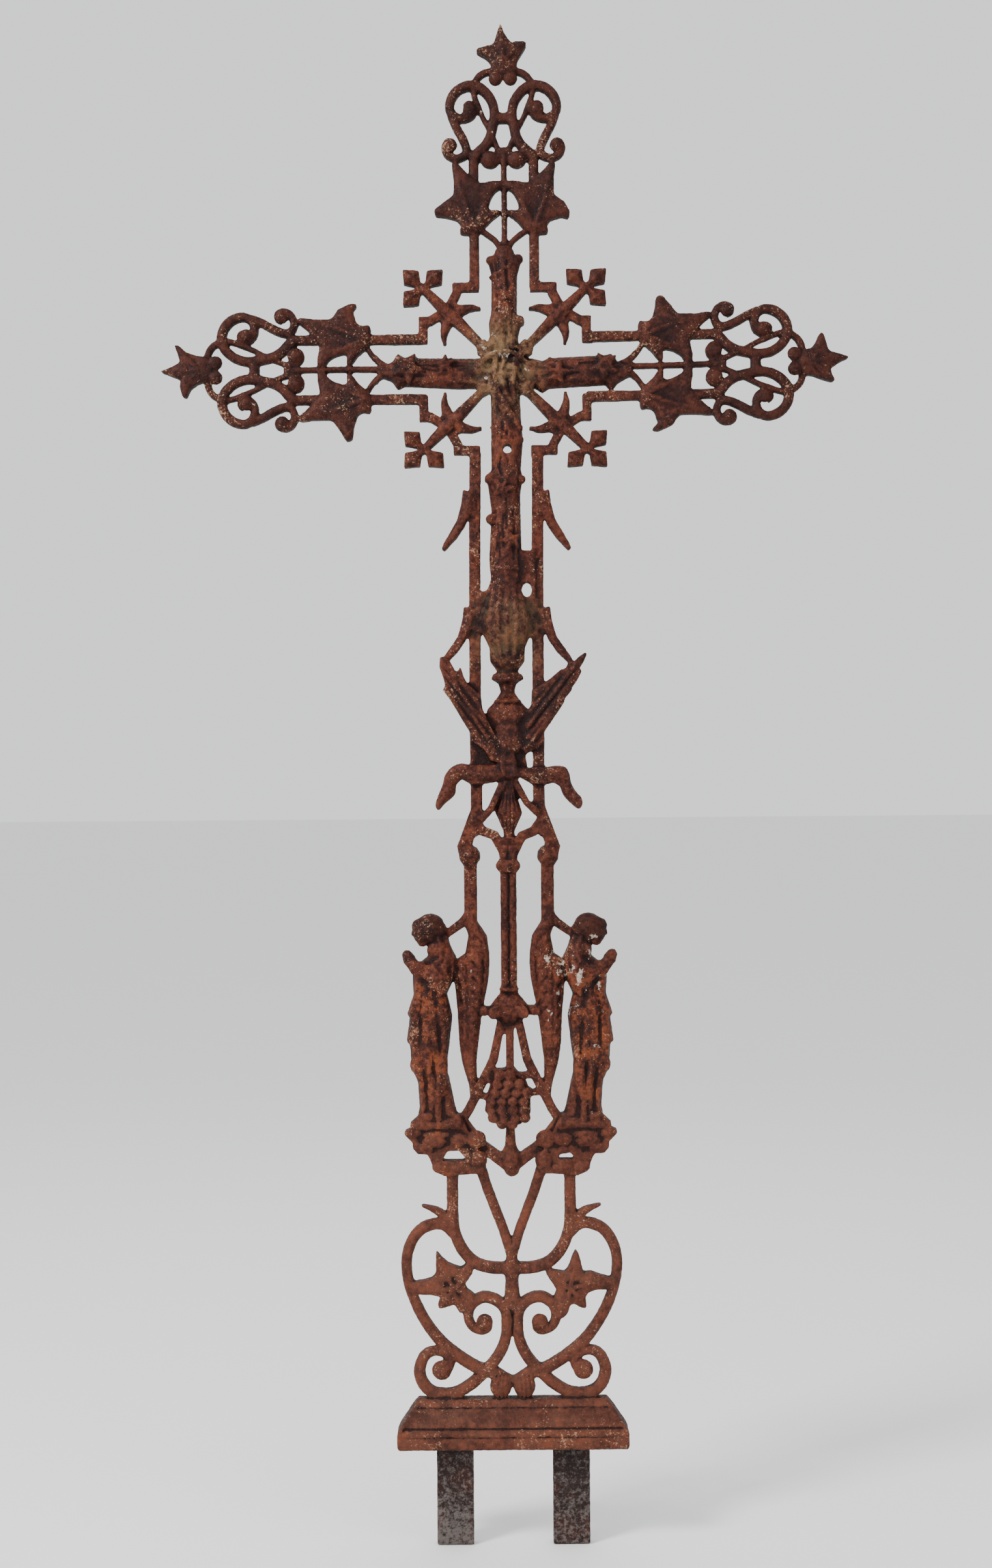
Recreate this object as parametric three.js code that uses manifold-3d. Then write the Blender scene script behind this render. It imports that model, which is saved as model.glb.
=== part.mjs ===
// Cast iron grave cross: one openwork casting on a moulded foot with two tangs.
// Millimetres, +Z up, front towards -Y. The origin is the middle of the flat underside of the foot.
import * as THREE from 'three';
import { mergeVertices } from 'three/addons/utils/BufferGeometryUtils.js';
import Module from 'manifold-3d';

const wasm = await Module();
wasm.setup();

// Driving dimensions: the lattice
const CROSSING_HEIGHT = 922.5;
const RAIL_WIDTH = 8.4;
const RAIL_SPACING = 51.4;
const RAIL_END = 183.5;
const FRET_REACH = 70;
const FRET_STEP = 41;
const FRET_WIDTH = 7.6;
const FRONT = -5;
const BACK = 5;
const SAG = 1.25;
const CUT_SIZE = 3000;
const THROUGH = 60;

// Driving dimensions: arms, measured outwards from the middle of the crossing
const STAR_REACH = 295;
const STAR_BASE = 257;
const ROD_WIDTH = 5;
const ROD_START = 100;
const LEAF_PLACE = 116;
const LEAF_RELIEF = 2.5;
const SCROLL_WIDTH = 7.8;
const SCROLL_EYE = 5.4;
const LYRE_WIDTH = 4.6;
const LYRE_EYE = 4.6;
const STRUT_WIDTH = 4.6;

// Driving dimensions: trunk, vase and urn on the middle line
const TRUNK_HALF = 11.4;
const TRUNK_RELIEF = 13;
const TRUNK_TOP = 1027;
const TRUNK_FOOT = 741;
const NAIL_HOLE_RADIUS = 4;
const NAIL_HOLE_HEIGHT = 852.6;
const VASE_DEPTH = 0.72;
const RIBBON_RELIEF = 3.5;
const TAIL_WIDTH = 5;

// Driving dimensions: column, rhomb and angels
const COLUMN_RADIUS = 3.7;
const HANGER_TOP = 506;
const HANGER_FOOT = 448;
const FLAW_RADIUS = 1.3;
const COLUMN_TOP = 512;
const COLUMN_FOOT = 388;
const HANGER_WIDTH = 10.9;
const HANGER_PLACE = 33;
const RHOMB_WIDTH = 7.6;
const BERRY_RADIUS = 4.9;
const BERRY_PITCH = 9;

// Driving dimensions: lower scrolls, foot and tangs
const U_WIDTH = 10;
const V_WIDTH = 8.6;
const HEART_WIDTH = 9.4;
const FOOT_HALF = 98.8;
const FOOT_TOP_HALF = 81;
const FOOT_TOP = 39;
const FOOT_FRONT = -24;
const FOOT_BACK = 8;
const FOOT_STEP = 14;
const TANG_WIDTH = 31.4;
const TANG_LENGTH = 85;
const TANG_PLACE = 49.8;
const TANG_FRONT = -7;
const TANG_BACK = 6;

const CAST_IRON = new THREE.MeshStandardMaterial({ color: 0x5b2f22, roughness: 0.82, metalness: 0.35 });

// Solids from three.js geometry

function solidOf(geometry) {
  geometry.deleteAttribute('normal');
  geometry.deleteAttribute('uv');
  const welded = mergeVertices(geometry, 1e-4);
  return new wasm.Manifold(new wasm.Mesh({
    numProp: 3,
    vertProperties: Float32Array.from(welded.attributes.position.array),
    triVerts: Uint32Array.from(welded.index.array),
  }));
}

function join(solids) {
  return solids.reduce((whole, solid) => whole.add(solid));
}

function mirrored(solid) {
  return solid.mirror([1, 0, 0]);
}

// An outline in x and z, as thick as the way from front to back
function plate(outline, front = FRONT, back = BACK) {
  const shape = new THREE.Shape(outline.map(([x, z]) => new THREE.Vector2(x, z)));
  const geometry = new THREE.ExtrudeGeometry(shape, { depth: back - front, bevelEnabled: false });
  geometry.rotateX(Math.PI / 2);
  geometry.translate(0, back, 0);
  return solidOf(geometry);
}

// Points along a smooth line, each chord no further than the sag from it
function curve(points, sag = SAG) {
  const spline = new THREE.SplineCurve(points.map(([x, z]) => new THREE.Vector2(x, z)));
  const fine = spline.getSpacedPoints(12 * points.length);
  const kept = [fine[0]];
  let from = 0;
  while (from < fine.length - 1) {
    let to = from + 1;
    while (to + 1 < fine.length && sagOf(fine, from, to + 1) < sag) {
      to += 1;
    }
    kept.push(fine[to]);
    from = to;
  }
  return kept.map((point) => [point.x, point.y]);
}

function sagOf(line, from, to) {
  const chord = line[to].clone().sub(line[from]);
  const length = chord.length();
  return Math.max(...line.slice(from, to + 1).map((point) => {
    return Math.abs(chord.cross(point.clone().sub(line[from]))) / length;
  }));
}

function mix(values, share) {
  const place = share * (values.length - 1);
  const index = Math.min(Math.floor(place), values.length - 2);
  return THREE.MathUtils.lerp(values[index], values[index + 1], place - index);
}

// A bar along a line of points, with mitred corners and a width that may change on the way
function bar(points, widths, front = FRONT, back = BACK) {
  const line = points.map(([x, z]) => new THREE.Vector2(x, z));
  const lengths = [0];
  for (let i = 1; i < line.length; i += 1) {
    lengths.push(lengths[i - 1] + line[i].distanceTo(line[i - 1]));
  }
  const total = lengths[lengths.length - 1];
  const left = [];
  const right = [];
  line.forEach((point, i) => {
    const before = line[Math.max(i - 1, 0)];
    const after = line[Math.min(i + 1, line.length - 1)];
    const into = (i === 0 ? after.clone().sub(point) : point.clone().sub(before)).normalize();
    const out = (i === line.length - 1 ? into.clone() : after.clone().sub(point)).normalize();
    const normal = new THREE.Vector2(-into.y - out.y, into.x + out.x).normalize();
    const stretch = 1 / Math.max(normal.dot(new THREE.Vector2(-into.y, into.x)), 0.5);
    const reach = stretch * mix(widths, lengths[i] / total) / 2;
    left.push([point.x + normal.x * reach, point.y + normal.y * reach]);
    right.push([point.x - normal.x * reach, point.y - normal.y * reach]);
  });
  return plate([...left, ...right.reverse()], front, back);
}

// A round button facing the front, tapering towards its face
function button([x, z], radius, front = FRONT - 1, sides = 8) {
  const profile = [[0, front], [radius * 0.84, front], [radius, BACK], [0, BACK]];
  const geometry = new THREE.LatheGeometry(profile.map(([r, y]) => new THREE.Vector2(r, y)), sides);
  geometry.translate(x, 0, z);
  return solidOf(geometry);
}

// A turned body on a vertical axis, flattened front to back
function turned(profile, place = 0, sides = 8, flat = VASE_DEPTH) {
  const closed = [[0, profile[0][1]], ...profile, [0, profile[profile.length - 1][1]]];
  const rising = closed[0][1] < closed[closed.length - 1][1] ? closed : closed.reverse();
  const geometry = new THREE.LatheGeometry(rising.map(([r, z]) => new THREE.Vector2(r, z)), sides);
  geometry.rotateY(Math.PI / sides);
  geometry.rotateX(Math.PI / 2);
  geometry.scale(1, flat, 1);
  geometry.translate(place, 0, 0);
  return solidOf(geometry);
}

function ball([x, y, z], [rx, ry, rz], turn = 0, sides = 8) {
  const geometry = new THREE.SphereGeometry(1, sides, Math.round(sides * 0.6));
  geometry.scale(rx, rz, ry);
  geometry.rotateX(Math.PI / 2);
  geometry.rotateY(THREE.MathUtils.degToRad(turn));
  geometry.translate(x, y, z);
  return solidOf(geometry);
}

// A round cord over the front of the casting
function cord(points, radius, steps) {
  const path = new THREE.CatmullRomCurve3(points.map(([x, y, z]) => new THREE.Vector3(x, y, z)));
  const section = new THREE.Shape();
  section.absarc(0, 0, radius, 0, 2 * Math.PI, false);
  return solidOf(new THREE.ExtrudeGeometry(section, { steps, extrudePath: path, curveSegments: 2 }));
}

// A loft through closed rings of points, from the first ring to the last
function loft(rings) {
  const count = rings[0].length;
  const positions = rings.flat();
  const faces = [];
  for (let i = 0; i + 1 < rings.length; i += 1) {
    for (let j = 0; j < count; j += 1) {
      const a = i * count + j;
      const b = i * count + (j + 1) % count;
      faces.push(a, b, b + count, a, b + count, a + count);
    }
  }
  const last = (rings.length - 1) * count;
  for (let j = 1; j + 1 < count; j += 1) {
    faces.push(0, j + 1, j, last, last + j, last + j + 1);
  }
  const geometry = new THREE.BufferGeometry();
  geometry.setAttribute('position', new THREE.Float32BufferAttribute(positions.flat(), 3));
  geometry.setIndex(faces);
  return solidOf(geometry);
}

// A body with a flat back and a swelling front, given row by row as [z, left, right]
function relief(rows, swell, { facets = 6, folds = 0, foldDepth = 0, back = BACK } = {}) {
  const rings = rows.map(([z, left, right], row) => {
    const ring = [[left, back, z], [left, FRONT * 0.4, z]];
    const height = Array.isArray(swell) ? mix(swell, row / (rows.length - 1)) : swell;
    for (let i = 1; i < facets; i += 1) {
      const share = i / facets;
      const fold = foldDepth * Math.cos(folds * 2 * Math.PI * share);
      const x = THREE.MathUtils.lerp(left, right, 0.5 - 0.5 * Math.cos(Math.PI * share));
      ring.push([x, FRONT * 0.4 - height * Math.sin(Math.PI * share) ** 0.7 + fold, z]);
    }
    ring.push([right, FRONT * 0.4, z], [right, back, z]);
    return ring;
  });
  return loft(rings);
}

// Arms: two rails with leaves, scrolls, a lyre behind them and a star of leaves at the tip.
// An arm is drawn upwards, u across it and r outwards from the crossing.

const RAIL = RAIL_SPACING / 2;

function bigScroll() {
  const line = curve([
    [RAIL + 0.5, RAIL_END - 4],
    [RAIL - 7, RAIL_END + 5],
    [RAIL - 15, RAIL_END + 17],
    [RAIL - 18.6, RAIL_END + 31],
    [RAIL - 16, RAIL_END + 46],
    [RAIL - 6, RAIL_END + 57.5],
    [RAIL + 4, RAIL_END + 59.5],
    [RAIL + 14.5, RAIL_END + 54],
    [RAIL + 19.8, RAIL_END + 43],
    [RAIL + 17.5, RAIL_END + 33],
    [RAIL + 11, RAIL_END + 30],
    [RAIL + 4, RAIL_END + 35],
  ]);
  const eye = button([RAIL + 4, RAIL_END + 40.8], SCROLL_EYE, FRONT - 1.6);
  return bar(line, [SCROLL_WIDTH + 0.4, SCROLL_WIDTH, SCROLL_WIDTH, SCROLL_WIDTH - 1.6]).add(eye);
}

function outerScroll() {
  const line = curve([
    [RAIL + 21, RAIL_END + 37],
    [RAIL + 15.5, RAIL_END + 25],
    [RAIL + 9, RAIL_END + 14],
    [RAIL + 6, RAIL_END + 4],
    [RAIL + 10.5, RAIL_END - 3],
    [RAIL + 18, RAIL_END - 3.5],
    [RAIL + 23.4, RAIL_END + 1.5],
    [RAIL + 22, RAIL_END + 8],
  ]);
  const eye = button([RAIL + 18.6, RAIL_END + 8.4], SCROLL_EYE * 0.9, FRONT - 1);
  return bar(line, [SCROLL_WIDTH - 0.6, SCROLL_WIDTH - 1.4]).add(eye);
}

function lyre() {
  const line = curve([
    [8.5, STAR_BASE - 6],
    [12, STAR_BASE - 0.5],
    [18, STAR_BASE - 1.5],
    [23.5, STAR_BASE - 9],
    [25, STAR_BASE - 20],
    [20.5, STAR_BASE - 32],
    [12.5, STAR_BASE - 48],
    [7, STAR_BASE - 65],
    [4.2, STAR_BASE - 75],
    [8, STAR_BASE - 78],
  ], 1.5);
  const top = button([6.7, STAR_BASE - 8.6], LYRE_EYE, FRONT, 6);
  const hook = button([10.6, STAR_BASE - 74.6], LYRE_EYE * 1.3, FRONT, 6);
  return join([bar(line, [LYRE_WIDTH, LYRE_WIDTH]), top, hook]);
}

// Three-lobed leaf over a rail: tip is its long lobe, the rest follows the rail
function railLeaf(tip) {
  const r = LEAF_PLACE;
  const outline = [
    [RAIL + 18.6, r + 60],
    [RAIL + 17.4, r + 34],
    [RAIL + 26, r + 26.4],
    tip,
    [tip[0] - 1.6, tip[1] - 5],
    [RAIL + 14, r + 11],
    [RAIL + 11.4, r + 7],
    [RAIL + 12, r + 0.5],
    [RAIL + 7.6, r - 1],
    [RAIL - 7.2, r + 2.5],
    [RAIL - 14.4, r + 10.4],
    [3.6, r + 16.4],
    [4.4, r + 19.6],
    [RAIL - 13.2, r + 19.6],
    [RAIL - 14.8, r + 30],
    [1.5, r + 39.4],
    [1.5, r + 44.4],
    [RAIL - 3, r + 43.6],
    [RAIL + 14, r + 60.4],
  ];
  return plate(outline, FRONT - LEAF_RELIEF);
}

// Star of leaves. Its heights are shares of the way from its base to its reach.
function star({ tip, lobes }) {
  const [[right, rightRise], [left, leftRise]] = lobes;
  const outline = [
    [tip, 1],
    [6.8, 0.59],
    [right, rightRise + 0.04],
    [right + 0.6, rightRise - 0.04],
    [12.5, 0.18],
    [11, -0.03],
    [-9, -0.03],
    [-11, 0.16],
    [left - 0.6, leftRise - 0.04],
    [left, leftRise + 0.04],
    [-8, 0.57],
  ];
  const span = STAR_REACH - STAR_BASE;
  return plate(outline.map(([u, share]) => [u, STAR_BASE + share * span]), FRONT - LEAF_RELIEF);
}

function arm({ turn, leafTips, starTip, starLobes }) {
  const half = (leafTip) => join([
    plate([
      [RAIL - RAIL_WIDTH / 2, FRET_REACH],
      [RAIL + RAIL_WIDTH / 2, FRET_REACH],
      [RAIL + RAIL_WIDTH / 2, RAIL_END],
      [RAIL - RAIL_WIDTH / 2, RAIL_END],
    ]),
    bigScroll(),
    outerScroll(),
    lyre(),
    railLeaf(leafTip),
    bar([[RAIL - 4, LEAF_PLACE + 3], [8, LEAF_PLACE - 6], [1, ROD_START]], [STRUT_WIDTH, STRUT_WIDTH]),
  ]);
  const rod = plate([
    [-ROD_WIDTH / 2, ROD_START],
    [ROD_WIDTH / 2, ROD_START],
    [ROD_WIDTH / 2, RAIL_END + 3],
    [-ROD_WIDTH / 2, RAIL_END + 3],
  ]);
  const tie = plate([[-5.6, RAIL_END + 2], [5.6, RAIL_END + 2], [4.6, RAIL_END + 6], [-4.6, RAIL_END + 6]]);
  const collarReach = RAIL - 18.6 + 1;
  const collar = plate([
    [-collarReach, RAIL_END + 28],
    [collarReach, RAIL_END + 28],
    [collarReach, RAIL_END + 37],
    [-collarReach, RAIL_END + 37],
  ], FRONT - 1.5);
  const parts = [half(leafTips[0]), mirrored(half(leafTips[1])), rod, tie, collar];
  const whole = join([...parts, star({ tip: starTip, lobes: starLobes })]);
  return whole.rotate([0, turn, 0]).translate([0, 0, CROSSING_HEIGHT]);
}

const ARMS = [
  {
    turn: 0,
    leafTips: [[56.6, 134], [59.6, 136]],
    starTip: -1.8,
    starLobes: [[19.4, 0.553], [-21.7, 0.408]],
  },
  {
    turn: 89,
    leafTips: [[56.8, 130], [59, 136]],
    starTip: -2,
    starLobes: [[17.5, 0.632], [-22.5, 0.395]],
  },
  {
    turn: -90,
    leafTips: [[56.4, 131.5], [61.3, 136.5]],
    starTip: -0.8,
    starLobes: [[21.2, 0.645], [-22.5, 0.474]],
  },
];

// Corner frets: stepped straps, a hollow arc, thorns and a ray with three square petals

function petal(side, rise) {
  const points = [[1.6, 1.2], [3.6, 14.6], [17.2, 15.6], [16.4, 3.2], [2.2, 0.4]];
  const outline = points.map(([a, b]) => [a * side, b * rise]);
  return plate(outline, FRONT - 2);
}

function fret() {
  const out = FRET_REACH;
  const step = FRET_STEP;
  const bend = step + 8.6;
  const corner = [[RAIL, out + 5], [RAIL, out], [step, out]];
  const hollow = curve([
    [step, out - 5],
    [step + 1.6, out - 10.5],
    [bend, bend],
    [out - 10.5, step + 1.6],
    [out - 5, step],
  ]);
  const strap = [...corner, ...hollow, [out, step], [out, RAIL], [out + 5, RAIL]];
  const flower = [out, out - 0.8];
  const petals = [[1, 1], [-1, 1], [1, -1]].map(([side, rise]) => {
    return petal(side, rise).translate([flower[0], 0, flower[1]]);
  });
  const rayLine = [[15, 15], [bend - 7, bend - 8], [bend + 4, bend + 3], [out + 2, out + 1.2]];
  const ray = bar(rayLine, [6.4, 7.6, 9.4, 5.6], FRONT - 2);
  const thornRoot = bend - 6;
  const thorn = [[thornRoot + 3, bend + 1], [20.4, bend + 2.4]];
  const crossed = thorn.map(([a, b]) => [b, a]);
  const thorns = [thorn, crossed].map((line) => bar(line, [10, 1.8]));
  const rosette = button([17.6, 16.4], 7.2, FRONT - 4, 6);
  return join([bar(strap, [FRET_WIDTH, FRET_WIDTH]), ray, ...petals, ...thorns, rosette]);
}

function frets() {
  const upper = fret();
  const lower = upper.mirror([0, 0, 1]);
  const right = upper.add(lower);
  return right.add(mirrored(right)).translate([0, 0, CROSSING_HEIGHT]);
}

// Trunk: lopped branches laid as a cross, with stubs, bark and a climbing vine

function trunkRows(list) {
  return list.map(([z, left, right]) => [z, left - TRUNK_HALF, right + TRUNK_HALF]);
}

function trunk() {
  const post = relief(trunkRows([
    [TRUNK_FOOT - 2, -1.6, 1.6],
    [758, -3.4, 1.8],
    [800, -1, 0.8],
    [816, -3, 0.8],
    [828, -5, 3.2],
    [836, -0.8, 1.4],
    [861, -1, 3.4],
    [884, -0.8, 1.6],
    [950, -1.4, 0],
    [962, -2.4, 3],
    [970, -0.2, -1],
    [1003, 0.4, -0.4],
    [TRUNK_TOP - 10, -3.2, 3.6],
    [TRUNK_TOP - 6.5, 3.6, -3],
    [TRUNK_TOP + 3, 4.6, -4.6],
  ]), TRUNK_RELIEF - 4, { facets: 4 });
  const crossRows = [
    [-106, 6, -6.6],
    [-97, 2.6, -2.6],
    [-92, -4.4, 4.6],
    [-86, -1.6, 0.8],
    [-40, -4, 0],
    [24, -3, -0.4],
    [32, -8, -2.6],
    [38, -4, 0],
    [86, -1.6, 2],
    [91, -7, 3.6],
    [97, 0, -4],
    [108, 6, -6.6],
  ];
  const beam = relief(crossRows.map(([along, low, high]) => [along, -high - 9, -low + 12.8]),
    TRUNK_RELIEF - 5, { facets: 4 }).rotate([0, 90, 0]).translate([0, 0, CROSSING_HEIGHT]);
  const stubs = [[12.6, 963, 5], [-14.4, 828, 4.4], [-12.6, 793, 4.6]].map(([x, z, r]) => {
    return button([x, z], r, FRONT - 4, 6);
  });
  const vines = [[1000, 12], [872, -18]].map(([z, rise]) => {
    const line = [[-11, -2, z], [-6, -10, z + rise * 0.2], [4, -11, z + rise * 0.7], [12, -3, z + rise]];
    return cord(line, 2.2, 3);
  });
  const whole = join([post, beam, ...stubs, ...vines]);
  const hole = new THREE.CylinderGeometry(NAIL_HOLE_RADIUS, NAIL_HOLE_RADIUS, THROUGH, 10);
  hole.translate(1.4, 0, NAIL_HOLE_HEIGHT);
  return whole.subtract(solidOf(hole));
}

// Folds of cloth hanging over the crossing
function drapery() {
  const folds = [[-8, 13, 870, 3.2], [-1, 4, 882, 3.2]].map(([top, foot, end, radius]) => {
    return cord([[top + 6, -9, 928], [top, -12.5, 914], [top + 3, -12.5, 896], [foot, -7, end]], radius, 3);
  });
  return join([...folds, ball([4, -6, 912], [11, 9, 20], 0, 6)]);
}

// Shaft below the crossing: two rails with hanging thorn leaves

const SHAFT_LINES = [
  [[-26.2, 850], [-27.2, 780], [-27.6, 700], [-27.8, 620], [-27.2, 560], [-27.4, 542]],
  [[27.4, 850], [26.8, 780], [26.4, 700], [26.4, 620], [26.2, 560], [26.6, 542]],
];
const SHAFT_RAIL_WIDTH = 9.7;

function thornLeaf(side, top, tip) {
  const [tipX, tipZ] = tip;
  const root = 26.8;
  const outline = [
    [root, top - 3],
    [root + 5.4, top - 1.6],
    [root + 10.2, top],
    [root + 11.6, top - 12],
    [root + 15.4, top - 26],
    [tipX - 1.2, tipZ + 6.5],
    [tipX + 0.6, tipZ + 2],
    [tipX - 1.8, tipZ],
    [root + 16, tipZ + 11],
    [root + 9, tipZ + 21],
    [root + 5, tipZ + 31],
    [root, tipZ + 31],
  ];
  return plate(outline.map(([x, z]) => [x * side, z]), FRONT - 1.5);
}

function shaft() {
  const rails = SHAFT_LINES.map((line) => bar(line, [SHAFT_RAIL_WIDTH, SHAFT_RAIL_WIDTH]));
  const leaves = [-1, 1].flatMap((side) => [
    thornLeaf(side, 818.5, [55, 766]),
    thornLeaf(side, 718.5, [56, 668]),
  ]);
  return join([...rails, ...leaves]);
}

// Vase, turned neck and urn under the trunk

function vase() {
  const bowl = turned([
    [8.6, 661.5], [15.8, 671], [16.4, 683], [24, 698], [25, 708], [18.5, 731], [12, 748],
  ]);
  const neck = turned([
    [8, 590], [10, 602], [14, 612], [19.6, 625], [18.8, 630], [12.6, 636], [6.2, 645], [8.2, 652],
    [15.2, 656], [13.4, 660], [8, 662.5],
  ]);
  const shoulder = plate([
    [24, 766], [12, 765.5], [9, 752], [8, 738], [12.8, 738], [14.4, 729], [18, 725.6], [24, 724],
  ], FRONT - 2);
  const shoulderTop = plate([[24, 766], [9, 766], [9, 742], [13, 739.4], [24, 739]], FRONT - 2);
  const skirtLeft = plate([
    [-26, 730], [-18, 731.5], [-12, 738], [-6, 720], [-16, 694], [-26, 697],
  ], FRONT - 2);
  const skirtRight = plate([
    [26, 724], [18, 725], [8, 734], [8, 700], [18, 692], [26, 694],
  ], FRONT - 2);
  const eye = new THREE.CylinderGeometry(1, 1, THROUGH, 8);
  eye.scale(4.7, 1, 6.7);
  eye.translate(17.2, 0, 732.3);
  const root = plate([
    [-14, 614], [-24, 600], [-24, 578], [14.6, 578], [15, 590], [18, 596], [24, 600], [14, 614],
  ]);
  return join([bowl, neck, root, shoulder, shoulderTop, skirtLeft, skirtRight]).subtract(solidOf(eye));
}

function wing(outline, feathers, front) {
  const blade = plate(outline, front);
  const quills = feathers.map((line) => bar(line, [3.4, 1.6], front - 1.4, front + 1));
  return join([blade, ...quills]);
}

function urnWings() {
  const right = wing([
    [8, 600], [16, 592], [24, 596], [31.3, 602], [31.3, 610.5], [42, 626], [48.6, 636], [49, 639],
    [55, 646], [55.2, 648.4], [58.8, 653], [63.9, 662.4], [61.6, 664.4], [65.4, 670.4], [68.3, 677],
    [66.8, 678.2], [60.7, 674.1], [57.6, 670.8], [53, 671], [50, 664.8], [45.7, 663.6], [38.3, 657.3],
    [32.7, 653.2], [21, 646], [20.4, 634], [17.7, 629.6], [12, 622],
  ], [
    [[16, 614], [62, 673]],
    [[20, 604], [57, 655]],
  ], FRONT - 3);
  const left = wing([
    [-3, 596], [-6, 584], [-15, 586], [-19, 594], [-27, 600], [-32.2, 604], [-32.2, 610.5], [-38.3, 620],
    [-48.5, 637.7], [-55.2, 646.6], [-54.6, 648.4], [-53.4, 650], [-54.6, 656.4], [-58.2, 667],
    [-57.6, 675], [-53, 675.6], [-49.5, 671.8], [-43.2, 660.2], [-40.3, 667.1], [-37.8, 658.3],
    [-34.4, 652], [-23, 642], [-21.6, 630], [-11, 608],
  ], [
    [[-12, 594], [-54, 671]],
    [[-16, 592], [-52, 646]],
  ], FRONT - 5);
  return join([right, left]);
}

// Ribbon with snake-headed ends, its bow and two tails
function ribbon() {
  const band = plate([
    [0, 583], [-32, 582.6], [-40, 584], [-48, 581], [-54, 574], [-56.4, 565], [-60.4, 555.6],
    [-62.6, 548], [-60, 543.6], [-55, 549], [-46, 557], [-44.6, 565.6], [-40, 570.4], [-32, 566],
    [-25, 565.6], [-13, 567.4], [10, 571.6], [20, 566], [33, 565.4], [39, 567], [44.4, 563.6],
    [47, 556.6], [52, 550.6], [60, 544], [63.4, 548], [62.6, 554], [57.4, 559.6], [54, 566],
    [52.4, 574.6], [49, 580], [42, 581.4], [31, 580], [15, 579.6],
  ], FRONT - RIBBON_RELIEF);
  const tails = [
    [[-2, 574], [-7, 561], [-12, 549], [-20, 538.6], [-24, 535]],
    [[3, 574], [8, 562], [13, 553], [21, 544.6], [25, 541]],
  ].map((tail) => bar(curve(tail), [TAIL_WIDTH, TAIL_WIDTH + 1], FRONT - RIBBON_RELIEF));
  const bow = cord([
    [-3, -8, 592], [-6, -10, 582], [-3, -10, 572.5], [3, -10, 571.5], [7, -10, 578], [4, -8, 590],
  ], 1.6, 7);
  const knot = ball([0, -6, 582], [9, 6, 10], 0, 6);
  return join([band, ...tails, bow, knot]);
}

// Fluted calyx, the two inner arches and the volutes that end the rails
function calyx() {
  const cup = turned([[4, 516], [5.2, 526], [12.4, 541], [8.6, 553], [9, 572]], 0.4, 8, 0.85);
  const arches = [
    [[-28.5, 534], [-24, 526.4], [-15, 524.2], [-8.2, 517], [-5, 508], [-3.6, 498]],
    [[28, 534], [23, 526], [14, 523.4], [8, 516.5], [4.6, 508], [3, 498]],
  ].map((points) => bar(curve(points), [8.4, 8, 7.6, 7]));
  const volutes = [-1, 1].map((side) => join([
    bar(curve([[27 * side, 545], [30 * side, 534], [36 * side, 522], [38.2 * side, 510], [36 * side, 503]]),
      [9.4, 10.4, 11.6, 12]),
    button([33.6 * side, 504.2], 9.8, FRONT - 2.4, 10),
    plate([[27, 528], [33, 528], [33, 520], [27, 521]].map(([x, z]) => [x * side, z])),
  ]));
  const neck = plate([[-6.8, 500], [6, 500], [6.4, 520], [-6.8, 520]]);
  return join([cup, ...arches, ...volutes, neck]);
}

// Twin column between the angels, its collar and its capital
function column() {
  const shafts = [-1, 1].map((side) => {
    const shape = new THREE.CylinderGeometry(COLUMN_RADIUS, COLUMN_RADIUS, COLUMN_TOP - COLUMN_FOOT, 6);
    shape.rotateX(Math.PI / 2);
    shape.translate(-0.5 + side * (COLUMN_RADIUS - 0.25), -3, (COLUMN_TOP + COLUMN_FOOT) / 2);
    return solidOf(shape);
  });
  const core = plate([
    [-6.6, COLUMN_FOOT], [5.6, COLUMN_FOOT], [5.6, COLUMN_TOP], [-6.6, COLUMN_TOP],
  ], -3.5);
  const collar = plate([
    [-8, 490.6], [7, 490.6], [9.8, 494], [9.8, 497.4], [7, 501], [-8, 501], [-11, 497.4], [-11, 494],
  ], FRONT - 4);
  const capital = turned([
    [9, 361], [18.2, 369], [18.6, 374], [11.4, 383], [8, 386.6], [8.8, 389.6], [7.4, 393],
  ], -0.6, 8, 0.7);
  const beads = [[-13.6, 370.2], [10.6, 370.6]].map(([x, z]) => button([x, z], 6, FRONT - 8.6, 6));
  const links = [
    bar([[-12, 371.6], [-28, 371.6]], [7.2, 7.2]),
    bar([[12, 371.8], [28, 371.8]], [8, 8]),
  ];
  return join([...shafts, core, collar, capital, ...beads, ...links]);
}

// Rhomb of curved bars with the bunch of grapes hanging in it
function rhomb() {
  const sides = [-1, 1].flatMap((side) => [
    bar(curve([[5.4, 372], [7.6, 358], [10.4, 343], [16, 325], [23.4, 308.6], [33, 291], [43.4, 275]]
      .map(([x, z]) => [x * side, z])), [RHOMB_WIDTH - 1, RHOMB_WIDTH, RHOMB_WIDTH]),
    bar(curve([[43.4, 279], [34, 264.6], [22, 252.6], [10, 243.6], [0, 237]]
      .map(([x, z]) => [x * side, z])), [9, 9.6, 10.4]),
  ]);
  const rod = plate([[-3.5, 310], [3, 310], [3, 370], [-3.5, 370]]);
  const stem = turned([[6, 236], [9.6, 247], [5, 256], [3.4, 280]], -0.4, 8, 0.9);
  const tip = ball([0.6, -3, 240], [8.4, 7, 12], 0, 6);
  return join([...sides, rod, stem, tip]);
}

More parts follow.
